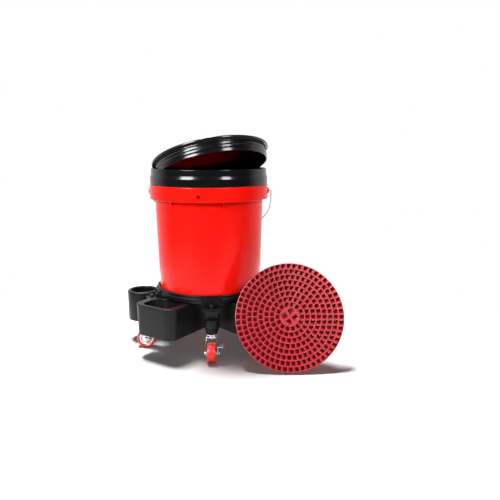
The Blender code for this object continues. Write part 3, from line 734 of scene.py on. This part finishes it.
# %% Deck sizes and the turned dish
DECK_TOP, DECK_LOW, DECK_PLATE = BASE_Z - 0.3, 144.0, 149.7
DECK_R, LIP_R, LIP_IN, LIP_TOP = 151.0, 147.7, 140.2, 164.5
CASTER_OUT = 167.0
CASTER_TURNS = (5.0, -67.0, -139.0, 149.0, 77.0)
CASTER_HEADINGS = (0.0, -90.0, -150.0, 165.0, 60.0)
MIRROR = 5.0
HOLDER_TOP = 143.0
LEG_FOOT, FLANGE_LOW, FLANGE_EDGE, FLANGE_TOP = 110.0, 133.0, 134.5, 138.5
LEG_HALVES, LEG_FRONTS = (16.8, 22.4, 25.5), (175.0, 178.0, 180.0)
LEG_ROOT, NECK_HALF, FRONT_NECK_HALF = 13.0, 12.0, 23.0
PANEL = ((25.5, -146.0), (25.5, -148.0), (22.5, -153.5))

dish = soft([(60, DECK_LOW, 1), (65, DECK_LOW, 1), (65, DECK_PLATE, 1.5), (DECK_R - 5, DECK_PLATE, 1.5),
             (DECK_R - 5, DECK_LOW, 1), (DECK_R, DECK_LOW, 1.5), (DECK_R, DECK_TOP + 0.6, 1.6),
             (LIP_R, DECK_TOP + 1.6, 1.2), (LIP_R, LIP_TOP, 1.8), (LIP_IN, LIP_TOP, 1.8),
             (LIP_IN, DECK_TOP, 1.5), (60, DECK_TOP, 1.2)])
deck = model("deck_turned", Shape().lathe(dish, ring=True))


def leg_loop(half, front, z):
    """Front corners cut, and sides drawn in at the back to the neck that reaches the deck."""
    cut = 4.0
    right = [(half - cut, -front), (half, cut - front), (half, -CASTER_OUT), (LEG_ROOT, 1 - DECK_R)]
    return [(x, y, z) for x, y in right] + [(-x, y, z) for x, y in reversed(right)]


def block(half, near, far):
    return [(-half, near), (half, near), (half, far), (-half, far)]


legs = Shape()
necks = Shape()
panels = Shape()
arms = Shape()
foot, under, flange = zip(LEG_HALVES, LEG_FRONTS)
for degrees in CASTER_TURNS:
    place = turn(degrees)
    legs.stack([leg_loop(*foot, LEG_FOOT), leg_loop(*under, FLANGE_LOW), leg_loop(*flange, FLANGE_EDGE),
                leg_loop(*flange, FLANGE_TOP)], place, caps=True)
    neck_half = FRONT_NECK_HALF if degrees == MIRROR else NECK_HALF
    necks.prism(block(neck_half, -157, -147), FLANGE_TOP - 1.5, 150, place)
    panel = [(-x, y) for x, y in PANEL] + list(reversed(PANEL))
    panels.prism(panel, DECK_LOW - 0.3, LIP_TOP - 3.5, place)
    arms.prism(block(14, -149, -62), DECK_LOW, DECK_PLATE + 1.5, place)
combine(deck, model("arms", arms))
for name, shape, width in (("legs", legs, 0.9), ("necks", necks, 0.8), ("panels", panels, 0.8)):
    blocks = model(name, shape)
    bevel(blocks, width)
    combine(deck, blocks)

# %% [markdown]
# A domed cap closes the top of each caster's bore, a bolt head sits over each holder, and thin
# ribs run under the plate between the legs.

# %% Caps, bolt seats and ribs
POD_BOLT = (-13.0, -127.0)
POD_TURNS = (-33.0, 2 * MIRROR + 33.0)
CUP_TURNS = (-91.2, 2 * MIRROR + 91.2)
BOLT_PLACES = (
    turn(POD_TURNS[0]) @ shift(POD_BOLT[0], POD_BOLT[1], 0),
    turn(POD_TURNS[1]) @ shift(-POD_BOLT[0], POD_BOLT[1], 0),
    turn(CUP_TURNS[0]) @ shift(0, POD_BOLT[1], 0),
    turn(CUP_TURNS[1]) @ shift(0, POD_BOLT[1], 0),
)

domes = Shape()
stem_bores = Shape()
for degrees in CASTER_TURNS:
    spot = turn(degrees) @ shift(0, -CASTER_OUT, 0)
    domes.lathe(soft([(0, 136.5), (6.5, 136.5), (6.5, 147.5, 4.0), (0, 150)], ring=False), SMALL, spot)
    stem_bores.lathe([(0, 105), (5.3, 105), (5.3, LEG_FOOT + 18), (0, LEG_FOOT + 18)], SMALL, spot)
combine(deck, model("domes", domes))

seats = Shape()
for place in BOLT_PLACES:
    seats.lathe([(0, DECK_LOW), (8, DECK_LOW), (8, DECK_PLATE + 2), (0, DECK_PLATE + 2)], SMALL, place)
    stem_bores.lathe([(0, 142), (3.3, 142), (3.3, DECK_TOP - 3.6), (6.4, DECK_TOP - 3.6),
                      (6.4, DECK_TOP + 2), (0, DECK_TOP + 2)], SMALL, place)
combine(deck, model("seats", seats))
combine(deck, model("stem_bores", stem_bores), "DIFFERENCE")

rib = Shape().prism([(64, -1), (147, -1), (147, 1), (64, 1)], DECK_LOW + 0.8, DECK_PLATE + 0.6)
deck_ribs = around("deck_ribs", rib, 30, DOLLY_BLACK, first=MIRROR)
merge(deck, deck_ribs)
dress(deck, "root", DOLLY_BLACK, "deck_black", "dolly_deck")

# %% [markdown]
# ## Tool pods
#
# A pod is a deep rounded box with one pocket near its outer face. The outline steps in on one
# side, to clear the caster's leg, and the flat top reaches further over that step. Loops drawn in
# a little at the top and bottom round the edges. The pocket and the hollows below are cut last.

# %% The two pods
POD_TOP, POD_LOW = HOLDER_TOP, 62.0
POD_LEFT, POD_RIGHT, POD_OUT, POD_IN = -85.0, 45.0, 221.0, 78.0
STEP_X, STEP_Y, TOP_STEP_Y = -70.0, -168.0, -143.0
POCKET_FLOOR = 67.0


def inset(outline, amount):
    """Move every point of an outline inwards, square to it."""
    points = [Vector(point) for point in outline]
    moved = []
    for i, point in enumerate(points):
        along = (points[(i + 1) % len(points)] - points[i - 1]).normalized()
        moved.append((point.x - along.y * amount, point.y + along.x * amount))
    return moved


def pod_loop(inset_by, step_y, z):
    """The left pod's outline with its step, which leaves room for the caster's leg."""
    left, right, step = POD_LEFT + inset_by, POD_RIGHT - inset_by, STEP_X + inset_by
    near, far = inset_by - POD_OUT, -POD_IN - inset_by
    outline = soft([(left, near, 27 - inset_by), (right, near, 28 - inset_by), (right, far, 6),
                    (step, far, 6), (step, step_y, 0.5), (left, step_y, 0.5)], steps=8)
    return [(x, y, z) for x, y in outline]


def pod_shape():
    """Loops from the foot to the top, each with how far it is drawn in and its height."""
    low = ((3.6, POD_LOW), (2.5, POD_LOW + 1.4), (1.0, POD_TOP - 4.0))
    top = ((0.4, 3.6), (0.0, 3.2), (0.0, 1.6), (0.3, 0.8), (0.9, 0.2), (1.6, 0.0))
    loops = [pod_loop(drawn, STEP_Y, z) for drawn, z in low]
    loops += [pod_loop(drawn, TOP_STEP_Y - drawn, POD_TOP - below) for drawn, below in top]
    return Shape().stack(loops, caps=True)


def pocket_shape():
    """The pocket as a solid to cut away, flared where it meets the top."""
    mouth = rectangle(-65, 25, -210, -141, 20, 22, 22, 45)
    loops = []
    for wider, z in ((-5.5, POCKET_FLOOR), (-2.5, POCKET_FLOOR + 1.2), (-1.3, POCKET_FLOOR + 4.5),
                     (0.0, POD_TOP - 2.0), (0.5, POD_TOP - 0.8), (1.6, POD_TOP + 0.3), (1.6, POD_TOP + 4)):
        loops.append([(x, y, z) for x, y in inset(mouth, -wider)])
    return Shape().stack(loops, caps=True)


def pod_hollows():
    hollows = Shape()
    for low_x, high_x in ((-65, -24), (-2, 40)):
        hollows.prism(rectangle(low_x, high_x, -134, -84, 4, 4, 4, 4), POD_LOW - 5, POD_TOP - 4)
    bolt = shift(*POD_BOLT, 0)
    hollows.lathe([(0, 120), (3.4, 120), (3.4, 150), (0, 150)], SMALL, bolt)
    return hollows


for name, degrees, flip in (("pod_left", POD_TURNS[0], 1), ("pod_right", POD_TURNS[1], -1)):
    place = HOME @ turn(degrees) @ Matrix.Diagonal((flip, 1, 1, 1))
    pod = model(f"{name}_shell", pod_shape(), place)
    combine(pod, model("hollows", pod_hollows(), place), "DIFFERENCE")
    combine(pod, model("pocket", pocket_shape(), place), "DIFFERENCE")
    dress(pod, "root", DOLLY_BLACK, "deck_black", name)

# %% [markdown]
# ## Cup holders
#
# A cup is a turned double wall on a flat arm that reaches under the deck.

# %% The two cups
CUP_OUT, CUP_R, CUP_BORE, CUP_LOW = 191.0, 43.0, 33.0, 61.0
CUP_TOP = HOLDER_TOP + 0.5


def cup_profile():
    floor_z = CUP_LOW + 8
    return soft([(0, floor_z), (CUP_BORE - 1, floor_z, 3), (CUP_BORE, CUP_TOP - 3, 4),
                 (CUP_BORE + 1.5, CUP_TOP, 2), (CUP_R, CUP_TOP, 3.5), (CUP_R - 0.7, CUP_LOW, 1.2),
                 (CUP_R - 3.5, CUP_LOW, 1), (CUP_R - 3, CUP_TOP - 7, 2), (CUP_BORE + 3, CUP_TOP - 7, 2),
                 (CUP_BORE + 2, floor_z - 3, 3), (0, floor_z - 3)], ring=False)


for name, degrees in (("cup_holder_left", CUP_TURNS[0]), ("cup_holder_right", CUP_TURNS[1])):
    place = HOME @ turn(degrees)
    cup = model(f"{name}_shell", Shape().lathe(cup_profile(), 96, shift(0, -CUP_OUT, 0)), place)
    arm = model("arm", Shape().prism(rectangle(-17, 17, -153, -112, 1, 1, 14, 14), HOLDER_TOP - 14,
                                     HOLDER_TOP), place)
    bevel(arm, 0.8, 2)
    combine(cup, arm)
    hole = Shape().lathe([(0, 120), (3.4, 120), (3.4, 150), (0, 150)], SMALL, shift(0, POD_BOLT[1], 0))
    combine(cup, model("hole", hole, place), "DIFFERENCE")
    dress(cup, "root", DOLLY_BLACK, "deck_black", name)

# %% [markdown]
# ## Holder bolts
#
# Four screws hold the pods and cups up against the deck. Each has a domed head with a six-sided
# socket, and sits in its own recess under the pail.

# %% Bolts


def hexagon(across_flats, turned=0.0):
    radius = across_flats / math.sqrt(3)
    angles = [math.radians(60 * i + turned) for i in range(6)]
    return [(radius * math.cos(angle), radius * math.sin(angle)) for angle in angles]


for index, place in enumerate(BOLT_PLACES):
    head = DECK_TOP - 3.3
    profile = soft([(0, 127), (2.6, 127), (3, 128), (3, head), (6, head, 0.4), (6, DECK_TOP - 0.8, 1.2),
                    (0, DECK_TOP - 0.8)], ring=False)
    bolt = model(f"bolt_{index + 1}", Shape().lathe(profile, SMALL), HOME @ place)
    key = model("key", Shape().prism(hexagon(4), DECK_TOP - 2.6, DECK_TOP + 1), HOME @ place)
    combine(bolt, key, "DIFFERENCE")
    dress(bolt, "root", ZINC, "wire_steel", f"holder_bolt_{index + 1}")

# %% [markdown]
# ## Casters
#
# Each caster hangs from a plastic socket. A chromed stem goes up into the leg, and below it the
# fork swivels on a ball race. The wheel is a white nylon hub with a red tyre, on an axle bolt.
# Everything below the stem turns about Z, so it is built facing the front and then turned to
# the caster's heading.

# %% Caster sizes
WHEEL_R, WHEEL_HALF, HUB_R, TRAIL = 26.0, 11.0, 18.5, 18.0
SOCKET_R, SOCKET_LOW = 19.5, 73.0
CROWN_TOP, CROWN_LOW = 67.7, 64.0
CHEEK_IN, CHEEK_OUT, AXLE_R = 11.9, 13.9, 3.2
BRAKED = (1, 4)
ACROSS = turn(90, "Y")


def socket_piece(name, spot):
    top = LEG_FOOT - 0.3
    profile = soft([(5.3, SOCKET_LOW), (14.6, SOCKET_LOW, 1.5), (15.6, 77, 1), (18.6, 89, 2),
                    (SOCKET_R, 92, 1), (SOCKET_R, top, 0.8), (5.3, top)])
    obj = model(f"{name}_collar", Shape().lathe(profile, 64, ring=True), spot)
    dress(obj, "root", DOLLY_BLACK, "deck_black", f"{name}_socket")


def stem_piece(name, spot):
    race = CROWN_TOP + 0.3
    profile = soft([(0, 58), (6.5, 58, 1), (6.5, 61, 1), (4, 61), (4, race), (13, race, 0.6),
                    (14.9, race + 1.6, 1), (14.9, SOCKET_LOW - 0.4, 0.8), (5, SOCKET_LOW - 0.4),
                    (5, LEG_FOOT + 16, 1), (0, LEG_FOOT + 16.5)], ring=False)
    obj = model(f"{name}_pin", Shape().lathe(profile, 48), spot)
    dress(obj, "root", CHROME, "chrome", f"{name}_stem")


def fork_piece(name, place, body):
    """A crown plate with a raised race, and a cheek down each side."""
    crown = Shape().prism(rectangle(-CHEEK_OUT, CHEEK_OUT, -14, 13, 5, 5, 5, 5), CROWN_LOW, CROWN_TOP)
    fork = model(f"{name}_steel", crown, place)
    cheek = soft([(-TRAIL - 6, 19, 3), (-TRAIL + 4, 19, 5), (-TRAIL + 8, 24, 6), (9, 55, 8), (9, 66, 1),
                  (-12, 66, 1), (-TRAIL - 9, 33, 7), (-TRAIL - 9, 24, 5)])
    cheeks = Shape()
    for near, far in ((-CHEEK_OUT, -CHEEK_IN), (CHEEK_IN, CHEEK_OUT)):
        cheeks.stack([[(x, y, z) for y, z in cheek] for x in (near, far)], caps=True)
    combine(fork, model("cheeks", cheeks, place))
    bevel(fork, 0.5, 2)
    bores = Shape().lathe([(0, 55), (4.4, 55), (4.4, 80), (0, 80)], SMALL)
    bores.lathe([(0, -20), (AXLE_R + 0.3, -20), (AXLE_R + 0.3, 20), (0, 20)], SMALL,
                shift(0, -TRAIL, WHEEL_R) @ ACROSS)
    combine(fork, model("bores", bores, place), "DIFFERENCE")
    dress(fork, body, CHROME, "chrome", f"{name}_fork")


# %% [markdown]
# The hub gets six spokes by the same tree that made the ribs, and the tyre's tread is a shallow
# arch.

# %% Wheel, axle and brake


def wheel_pieces(name, place, body):
    facing = place @ shift(0, -TRAIL, WHEEL_R) @ ACROSS
    side = WHEEL_HALF
    half_hub = [(3.7, -side, 0.4), (7.5, -side, 1), (8.4, -3, 1), (14.8, -3, 1), (15.6, -9, 0.8),
                (HUB_R, -9, 0.6)]
    hub = soft(half_hub + [(r, -z, radius) for r, z, radius in reversed(half_hub)])
    wheel = model(f"{name}_hub", Shape().lathe(hub, 72, ring=True), facing)
    spoke = Shape().stack([[(7, y, -z), (16, y, -z + 1.2), (16, y, z - 1.2), (7, y, z)]
                           for y, z in ((-0.9, 8.6), (0.9, 8.6))], caps=True)
    merge(wheel, around(f"{name}_spokes", spoke, 6, HUB_WHITE, facing))
    dress(wheel, body, HUB_WHITE, "hub_white", f"{name}_wheel")
    inner = HUB_R + 0.3
    arch = [(WHEEL_R - 0.6 * (z / 8) ** 2, z) for z in range(-8, 9, 2)]
    wall = soft([(inner, -9.2, 0.5), (WHEEL_R - 4, -side, 2.5), (WHEEL_R - 1.6, -9.8, 1.5)], ring=False)
    profile = [(inner, -9)] + wall[1:] + arch
    profile += [(r, -z) for r, z in reversed(wall[1:])] + [(inner, 9)]
    tyre = model(f"{name}_tread", Shape().lathe(profile, 96, ring=True), facing)
    dress(tyre, body, TYRE_RED, "tyre_red", f"{name}_tyre")


def axle_piece(name, place, body, braked):
    facing = place @ shift(0, -TRAIL, WHEEL_R) @ ACROSS
    head = CHEEK_OUT + 0.3 + (3.0 if braked else 0.0)
    nut = -CHEEK_OUT - 0.3
    profile = [(0, nut - 5.2), (2.6, nut - 5.2), (AXLE_R, nut - 4.6), (AXLE_R, head), (0, head)]
    obj = model(f"{name}_bolt", Shape().lathe(profile, SMALL), facing)
    hexagons = Shape().prism(hexagon(9.6), head, head + 3).prism(hexagon(9.6), nut - 4, nut)
    ends = model("ends", hexagons, facing)
    bevel(ends, 0.5, 2)
    merge(obj, ends)
    dress(obj, body, CHROME, "chrome", f"{name}_axle")


def brake_piece(name, place, body):
    """A lever on the axle outside the right cheek, with a ribbed foot pad standing out from it."""
    facing = place @ shift(0, -TRAIL, WHEEL_R)
    near = CHEEK_OUT + 0.3
    far = near + 2.4
    arm = soft([(-8, -6, 4), (6, -6, 4), (8, 2, 3), (0, 24, 3), (-14, 24, 3), (-10, 4, 4)])
    plate = Shape().stack([[(x, y, z) for y, z in arm] for x in (near, far)], caps=True)
    lever = model(f"{name}_plate", plate, facing)
    pad = Shape().prism(rectangle(near + 0.5, near + 18, -16, -3, 1, 5, 5, 1), 20.5, 23)
    combine(lever, model("pad", pad, facing))
    bevel(lever, 0.5, 2)
    hole = Shape().lathe([(0, 10), (3.6, 10), (3.6, 20), (0, 20)], SMALL, ACROSS)
    combine(lever, model("hole", hole, facing), "DIFFERENCE")
    bar_shape = Shape().tube([(near + 4, -14.5, 23), (near + 4, -4.5, 23)], 0.6, 10)
    bars = model("bars", bar_shape, Matrix())
    Recipe.cook(bars, COPIES, CHROME, Count=5, Step_move=(2.7 * MM, 0.0, 0.0))
    bars.data.transform(Matrix.Translation(facing.translation * MM) @ facing.to_3x3().to_4x4())
    merge(lever, bars)
    dress(lever, body, CHROME, "chrome", f"{name}_brake_lever")


for index, (degrees, heading) in enumerate(zip(CASTER_TURNS, CASTER_HEADINGS)):
    number = index + 1
    name = f"caster_{number}"
    spot = HOME @ shift(*(turn(degrees) @ Vector((0, -CASTER_OUT, 0))))
    place = spot @ turn(heading)
    socket_piece(name, spot)
    stem_piece(name, spot)
    fork_piece(name, place, f"swivel_{number}")
    wheel_pieces(name, place, f"wheel_{number}")
    axle_piece(name, place, f"swivel_{number}", number in BRAKED)
    if number in BRAKED:
        brake_piece(name, place, f"brake_{number}")

# %% [markdown]
# ## The grit guard
#
# The guard is a thick disc with some three hundred square holes in rings. Drawing them by hand
# would be hopeless, and one rule covers them all: each ring stands one pitch further out than the
# last and has a few more holes. The tree takes one square cutter, sets it out on circles, turns
# each copy to face the centre, and cuts them all from the disc at once. The cutter flares at the
# face, for the small lead-in that a moulded hole has. Deeper in it slants aside and narrows, so
# no light comes straight through and the holes look dark.

# %% Grit guard sizes and the cutter
GUARD_R, GUARD_THICK, GUARD_LEAN = 134.5, 14.0, 24.0
RINGS, FIRST_RING, RING_PITCH = 8, 30.0, 13.86
FIRST_COUNT, MORE_HOLES, MOST_HOLES = 14, 6.65, 56
HOLE_SIDE, CENTRE_SIDE, CENTRE_OUT, CROSS_TURN = 10.3, 13.2, 13.8, -13.0
FUNNEL_SIDE, FUNNEL_ASIDE = 2.8, 8.6
GUARD_X, GUARD_Y = 209.0, -204.3
guard_z = GUARD_R * math.cos(math.radians(GUARD_LEAN)) + GUARD_THICK * math.sin(math.radians(GUARD_LEAN))
GUARD_PLACE = HOME @ shift(GUARD_X, GUARD_Y, guard_z) @ turn(90 - GUARD_LEAN, "X")


def hole_cutter(side):
    """A square funnel through the disc: straight at the face, then slanted aside and narrower."""
    loops = []
    for z, half, aside in ((1.0, side / 2 + 0.7, 0.0), (-0.5, side / 2, 0.0), (-7.0, side / 2 - 0.15, 0.0),
                           (-GUARD_THICK - 1.0, FUNNEL_SIDE / 2, FUNNEL_ASIDE)):
        corner = half * 0.26
        outline = soft([(x, y, corner) for x, y in block(half, -half, half)], steps=3)
        loops.append([(x, y + aside, z) for x, y in outline])
    return Shape().stack(loops, caps=True)


def guard_tree():
    recipe = Recipe("square_holes", Ring_pitch=RING_PITCH * MM, First_ring=FIRST_RING * MM,
                    Centre_out=CENTRE_OUT * MM, Centre_size=CENTRE_SIDE / HOLE_SIDE,
                    Cross_turn=math.radians(CROSS_TURN))
    recipe.tree.interface.new_socket("Disc", in_out="INPUT", socket_type="NodeSocketObject")
    cutters = []
    for ring_index in range(RINGS):
        count = min(round(FIRST_COUNT + MORE_HOLES * ring_index), MOST_HOLES)
        radius = recipe.given("First ring") + recipe.given("Ring pitch") * float(ring_index)
        points = recipe.node("GeometryNodeMeshCircle", {"fill_type": "NONE"},
                             {"Vertices": count, "Radius": radius})
        index = recipe.node("GeometryNodeInputIndex")
        spin = recipe.node("ShaderNodeCombineXYZ", None, {"Z": index * (2 * math.pi / count)})
        squares = {"Points": points, "Instance": recipe.given("Geometry"), "Rotation": spin}
        cutters.append(recipe.node("GeometryNodeInstanceOnPoints", None, squares))
    points = recipe.node("GeometryNodeMeshCircle", {"fill_type": "NONE"},
                         {"Vertices": 4, "Radius": recipe.given("Centre out")})
    size = recipe.given("Centre size")
    index = recipe.node("GeometryNodeInputIndex")
    spin = recipe.node("ShaderNodeCombineXYZ", None, {"Z": index * (math.pi / 2) + math.pi / 4})
    scale = recipe.node("ShaderNodeCombineXYZ", None, {"X": size, "Y": size, "Z": 1.0})
    diamonds = recipe.node("GeometryNodeInstanceOnPoints", None,
                           {"Points": points, "Instance": recipe.given("Geometry"), "Scale": scale,
                            "Rotation": spin})
    cross = recipe.node("ShaderNodeCombineXYZ", None, {"Z": recipe.given("Cross turn")})
    cutters.append(recipe.node("GeometryNodeTransform", None, {"Geometry": diamonds, "Rotation": cross}))
    join = recipe.tree.nodes.new("GeometryNodeJoinGeometry")
    for cutter in reversed(cutters):
        recipe.tree.links.new(cutter.socket, join.inputs[0])
    tools = recipe.node("GeometryNodeRealizeInstances", None, {0: Wire(recipe, join.outputs[0])})
    disc = recipe.node("GeometryNodeObjectInfo", {"transform_space": "ORIGINAL"},
                       {"Object": recipe.given("Disc")}, output="Geometry")
    cut = recipe.tree.nodes.new("GeometryNodeMeshBoolean")
    cut.operation = "DIFFERENCE"
    cut.solver = "MANIFOLD"
    recipe.feed(cut.inputs["Mesh 1"], disc)
    recipe.tree.links.new(tools.socket, cut.inputs["Mesh 2"])
    return recipe.close(Wire(recipe, cut.outputs["Mesh"]))


# %% [markdown]
# Four short blades on the back lift the guard off the pail's floor. They come from the tree for
# copies, and then the whole piece is leaned back against the pod.

# %% Cut the guard
edge = soft([(0, 0), (GUARD_R, 0, 1.6), (GUARD_R, -GUARD_THICK, 1.6), (0, -GUARD_THICK)], ring=False)
disc = model("disc", Shape().lathe(edge, 240), Matrix())
guard = model("guard_plate", hole_cutter(HOLE_SIDE), Matrix())
Recipe.cook(guard, guard_tree(), GUARD_CRIMSON, Disc=disc)
bpy.data.objects.remove(disc)
vane_side = soft([(60, -2), (96, -2, 1.5), (96, 2, 1.5), (60, 2)])
vane = Shape().prism(vane_side, -GUARD_THICK - 28, -GUARD_THICK + 1)
vanes = around("vanes", vane, 4, GUARD_CRIMSON, Matrix(), first=45)
merge(guard, vanes)
guard.data.transform(Matrix.Translation(GUARD_PLACE.translation * MM) @ GUARD_PLACE.to_3x3().to_4x4())
dress(guard, "guard", GUARD_CRIMSON, "guard_crimson", "grit_guard")

# %% [markdown]
# ## Studio
#
# The object stands on a white disc in a white room, so no horizon shows. Glossy pieces would turn
# milky in such a room, so mirrors see a dark one with a bright wall behind the object, which
# lights their edges. Two soft lights at the front left and right draw the bright patches on the
# ring and on the lid's thread. They leave the floor out, and its shadow comes from the lamp high
# up behind alone.

# %% Floor, lights and camera


def floor():
    """A white disc, only as wide as the object needs, so that nothing glossy mirrors it."""
    angles = [math.radians(3 * i) for i in range(120)]
    rim = [(FLOOR_R * math.cos(angle), max(FLOOR_FRONT, FLOOR_R * math.sin(angle)), 0) for angle in angles]
    mesh = bpy.data.meshes.new("studio_floor")
    mesh.from_pydata(rim, [], [tuple(range(120))])
    obj = bpy.data.objects.new("studio_floor", mesh)
    bpy.context.scene.collection.objects.link(obj)
    white = (1.0, 1.0, 1.0, 1.0)
    finish = Finish("studio_white", Roughness=0.9, Emission_Color=white, Emission_Strength=0.05)
    finish.colour(finish.blend(finish.noise(3.0), (0.93, 0.93, 0.93), (0.95, 0.95, 0.95)))
    obj.data.materials.append(finish.material)
    return obj


def soft_light(name, azimuth, elevation, distance, size, power, aim=(0, 0, 0.3)):
    """An area light, its azimuth counted from the front towards the right."""
    light = bpy.data.lights.new(name, "AREA")
    light.shape = "RECTANGLE"
    light.size, light.size_y = size
    light.energy = power
    obj = bpy.data.objects.new(name, light)
    bpy.context.scene.collection.objects.link(obj)
    a, e = math.radians(azimuth), math.radians(elevation)
    away = Vector((math.sin(a) * math.cos(e), -math.cos(a) * math.cos(e), math.sin(e)))
    obj.location = Vector(aim) + away * distance
    obj.rotation_euler = away.to_track_quat("Z", "Y").to_euler()
    return obj


def spare_floor(light, stage):
    """Keep a light off the floor, so that it draws highlights without washing out the shadow."""
    spared = bpy.data.collections.new(f"{light.name}_spared")
    spared.objects.link(stage)
    spared.collection_objects[0].light_linking.link_state = "EXCLUDE"
    light.light_linking.receiver_collection = spared


def surroundings():
    """White to the camera. To everything else, a bright wall behind and a dark room in front."""
    world = bpy.data.worlds.new("studio")
    world.use_nodes = True
    bpy.context.scene.world = world
    graph = Graph(world.node_tree)
    way = graph.node("ShaderNodeTexCoord", output="Generated")
    parts = graph.node("ShaderNodeSeparateXYZ", None, {0: way}, output=1)
    wall = graph.node("ShaderNodeMapRange", {"interpolation_type": "SMOOTHSTEP"},
                      {"Value": parts, "From Min": -0.15, "From Max": 0.45, "To Min": ROOM_DARK,
                       "To Max": ROOM_BRIGHT})
    seen = graph.node("ShaderNodeLightPath", output="Is Camera Ray")
    mirrored = graph.node("ShaderNodeLightPath", output="Is Glossy Ray")
    room = graph.node("ShaderNodeMix", {"data_type": "FLOAT"}, {0: mirrored, 2: ROOM_FILL, 3: wall})
    power = graph.node("ShaderNodeMix", {"data_type": "FLOAT"}, {0: seen, 2: room, 3: 1.0})
    graph.feed(world.node_tree.nodes["Background"].inputs["Color"], (1.0, 1.0, 1.0, 1.0))
    graph.feed(world.node_tree.nodes["Background"].inputs["Strength"], power)


FLOOR_R, FLOOR_FRONT = 0.95, -0.72
ROOM_DARK, ROOM_BRIGHT, ROOM_FILL = 0.02, 0.9, 0.03
ground = floor()
surroundings()
spare_floor(soft_light("left_box", -42, 34, 2.2, (0.8, 0.9), 66), ground)
spare_floor(soft_light("right_box", 38, 34, 2.4, (0.6, 0.8), 36), ground)
soft_light("top_box", 225, 76, 2.6, (0.75, 0.75), 170)
bpy.context.scene.view_settings.view_transform = "Standard"

CAMERA_PLACE = (0.0560, -1.4421, 0.5358)
CAMERA_DOWN = 10.7
FOCAL_PIXELS = 540.0
IMAGE_PIXELS = 500.0
camera = bpy.data.cameras.new("camera")
camera.sensor_width = 36.0
camera.lens = camera.sensor_width * FOCAL_PIXELS / IMAGE_PIXELS
eye = bpy.data.objects.new("camera", camera)
bpy.context.scene.collection.objects.link(eye)
eye.location = CAMERA_PLACE
eye.rotation_euler = (math.radians(90 - CAMERA_DOWN), 0, 0)
bpy.context.scene.camera = eye
print("lens", round(camera.lens, 2), "mm")
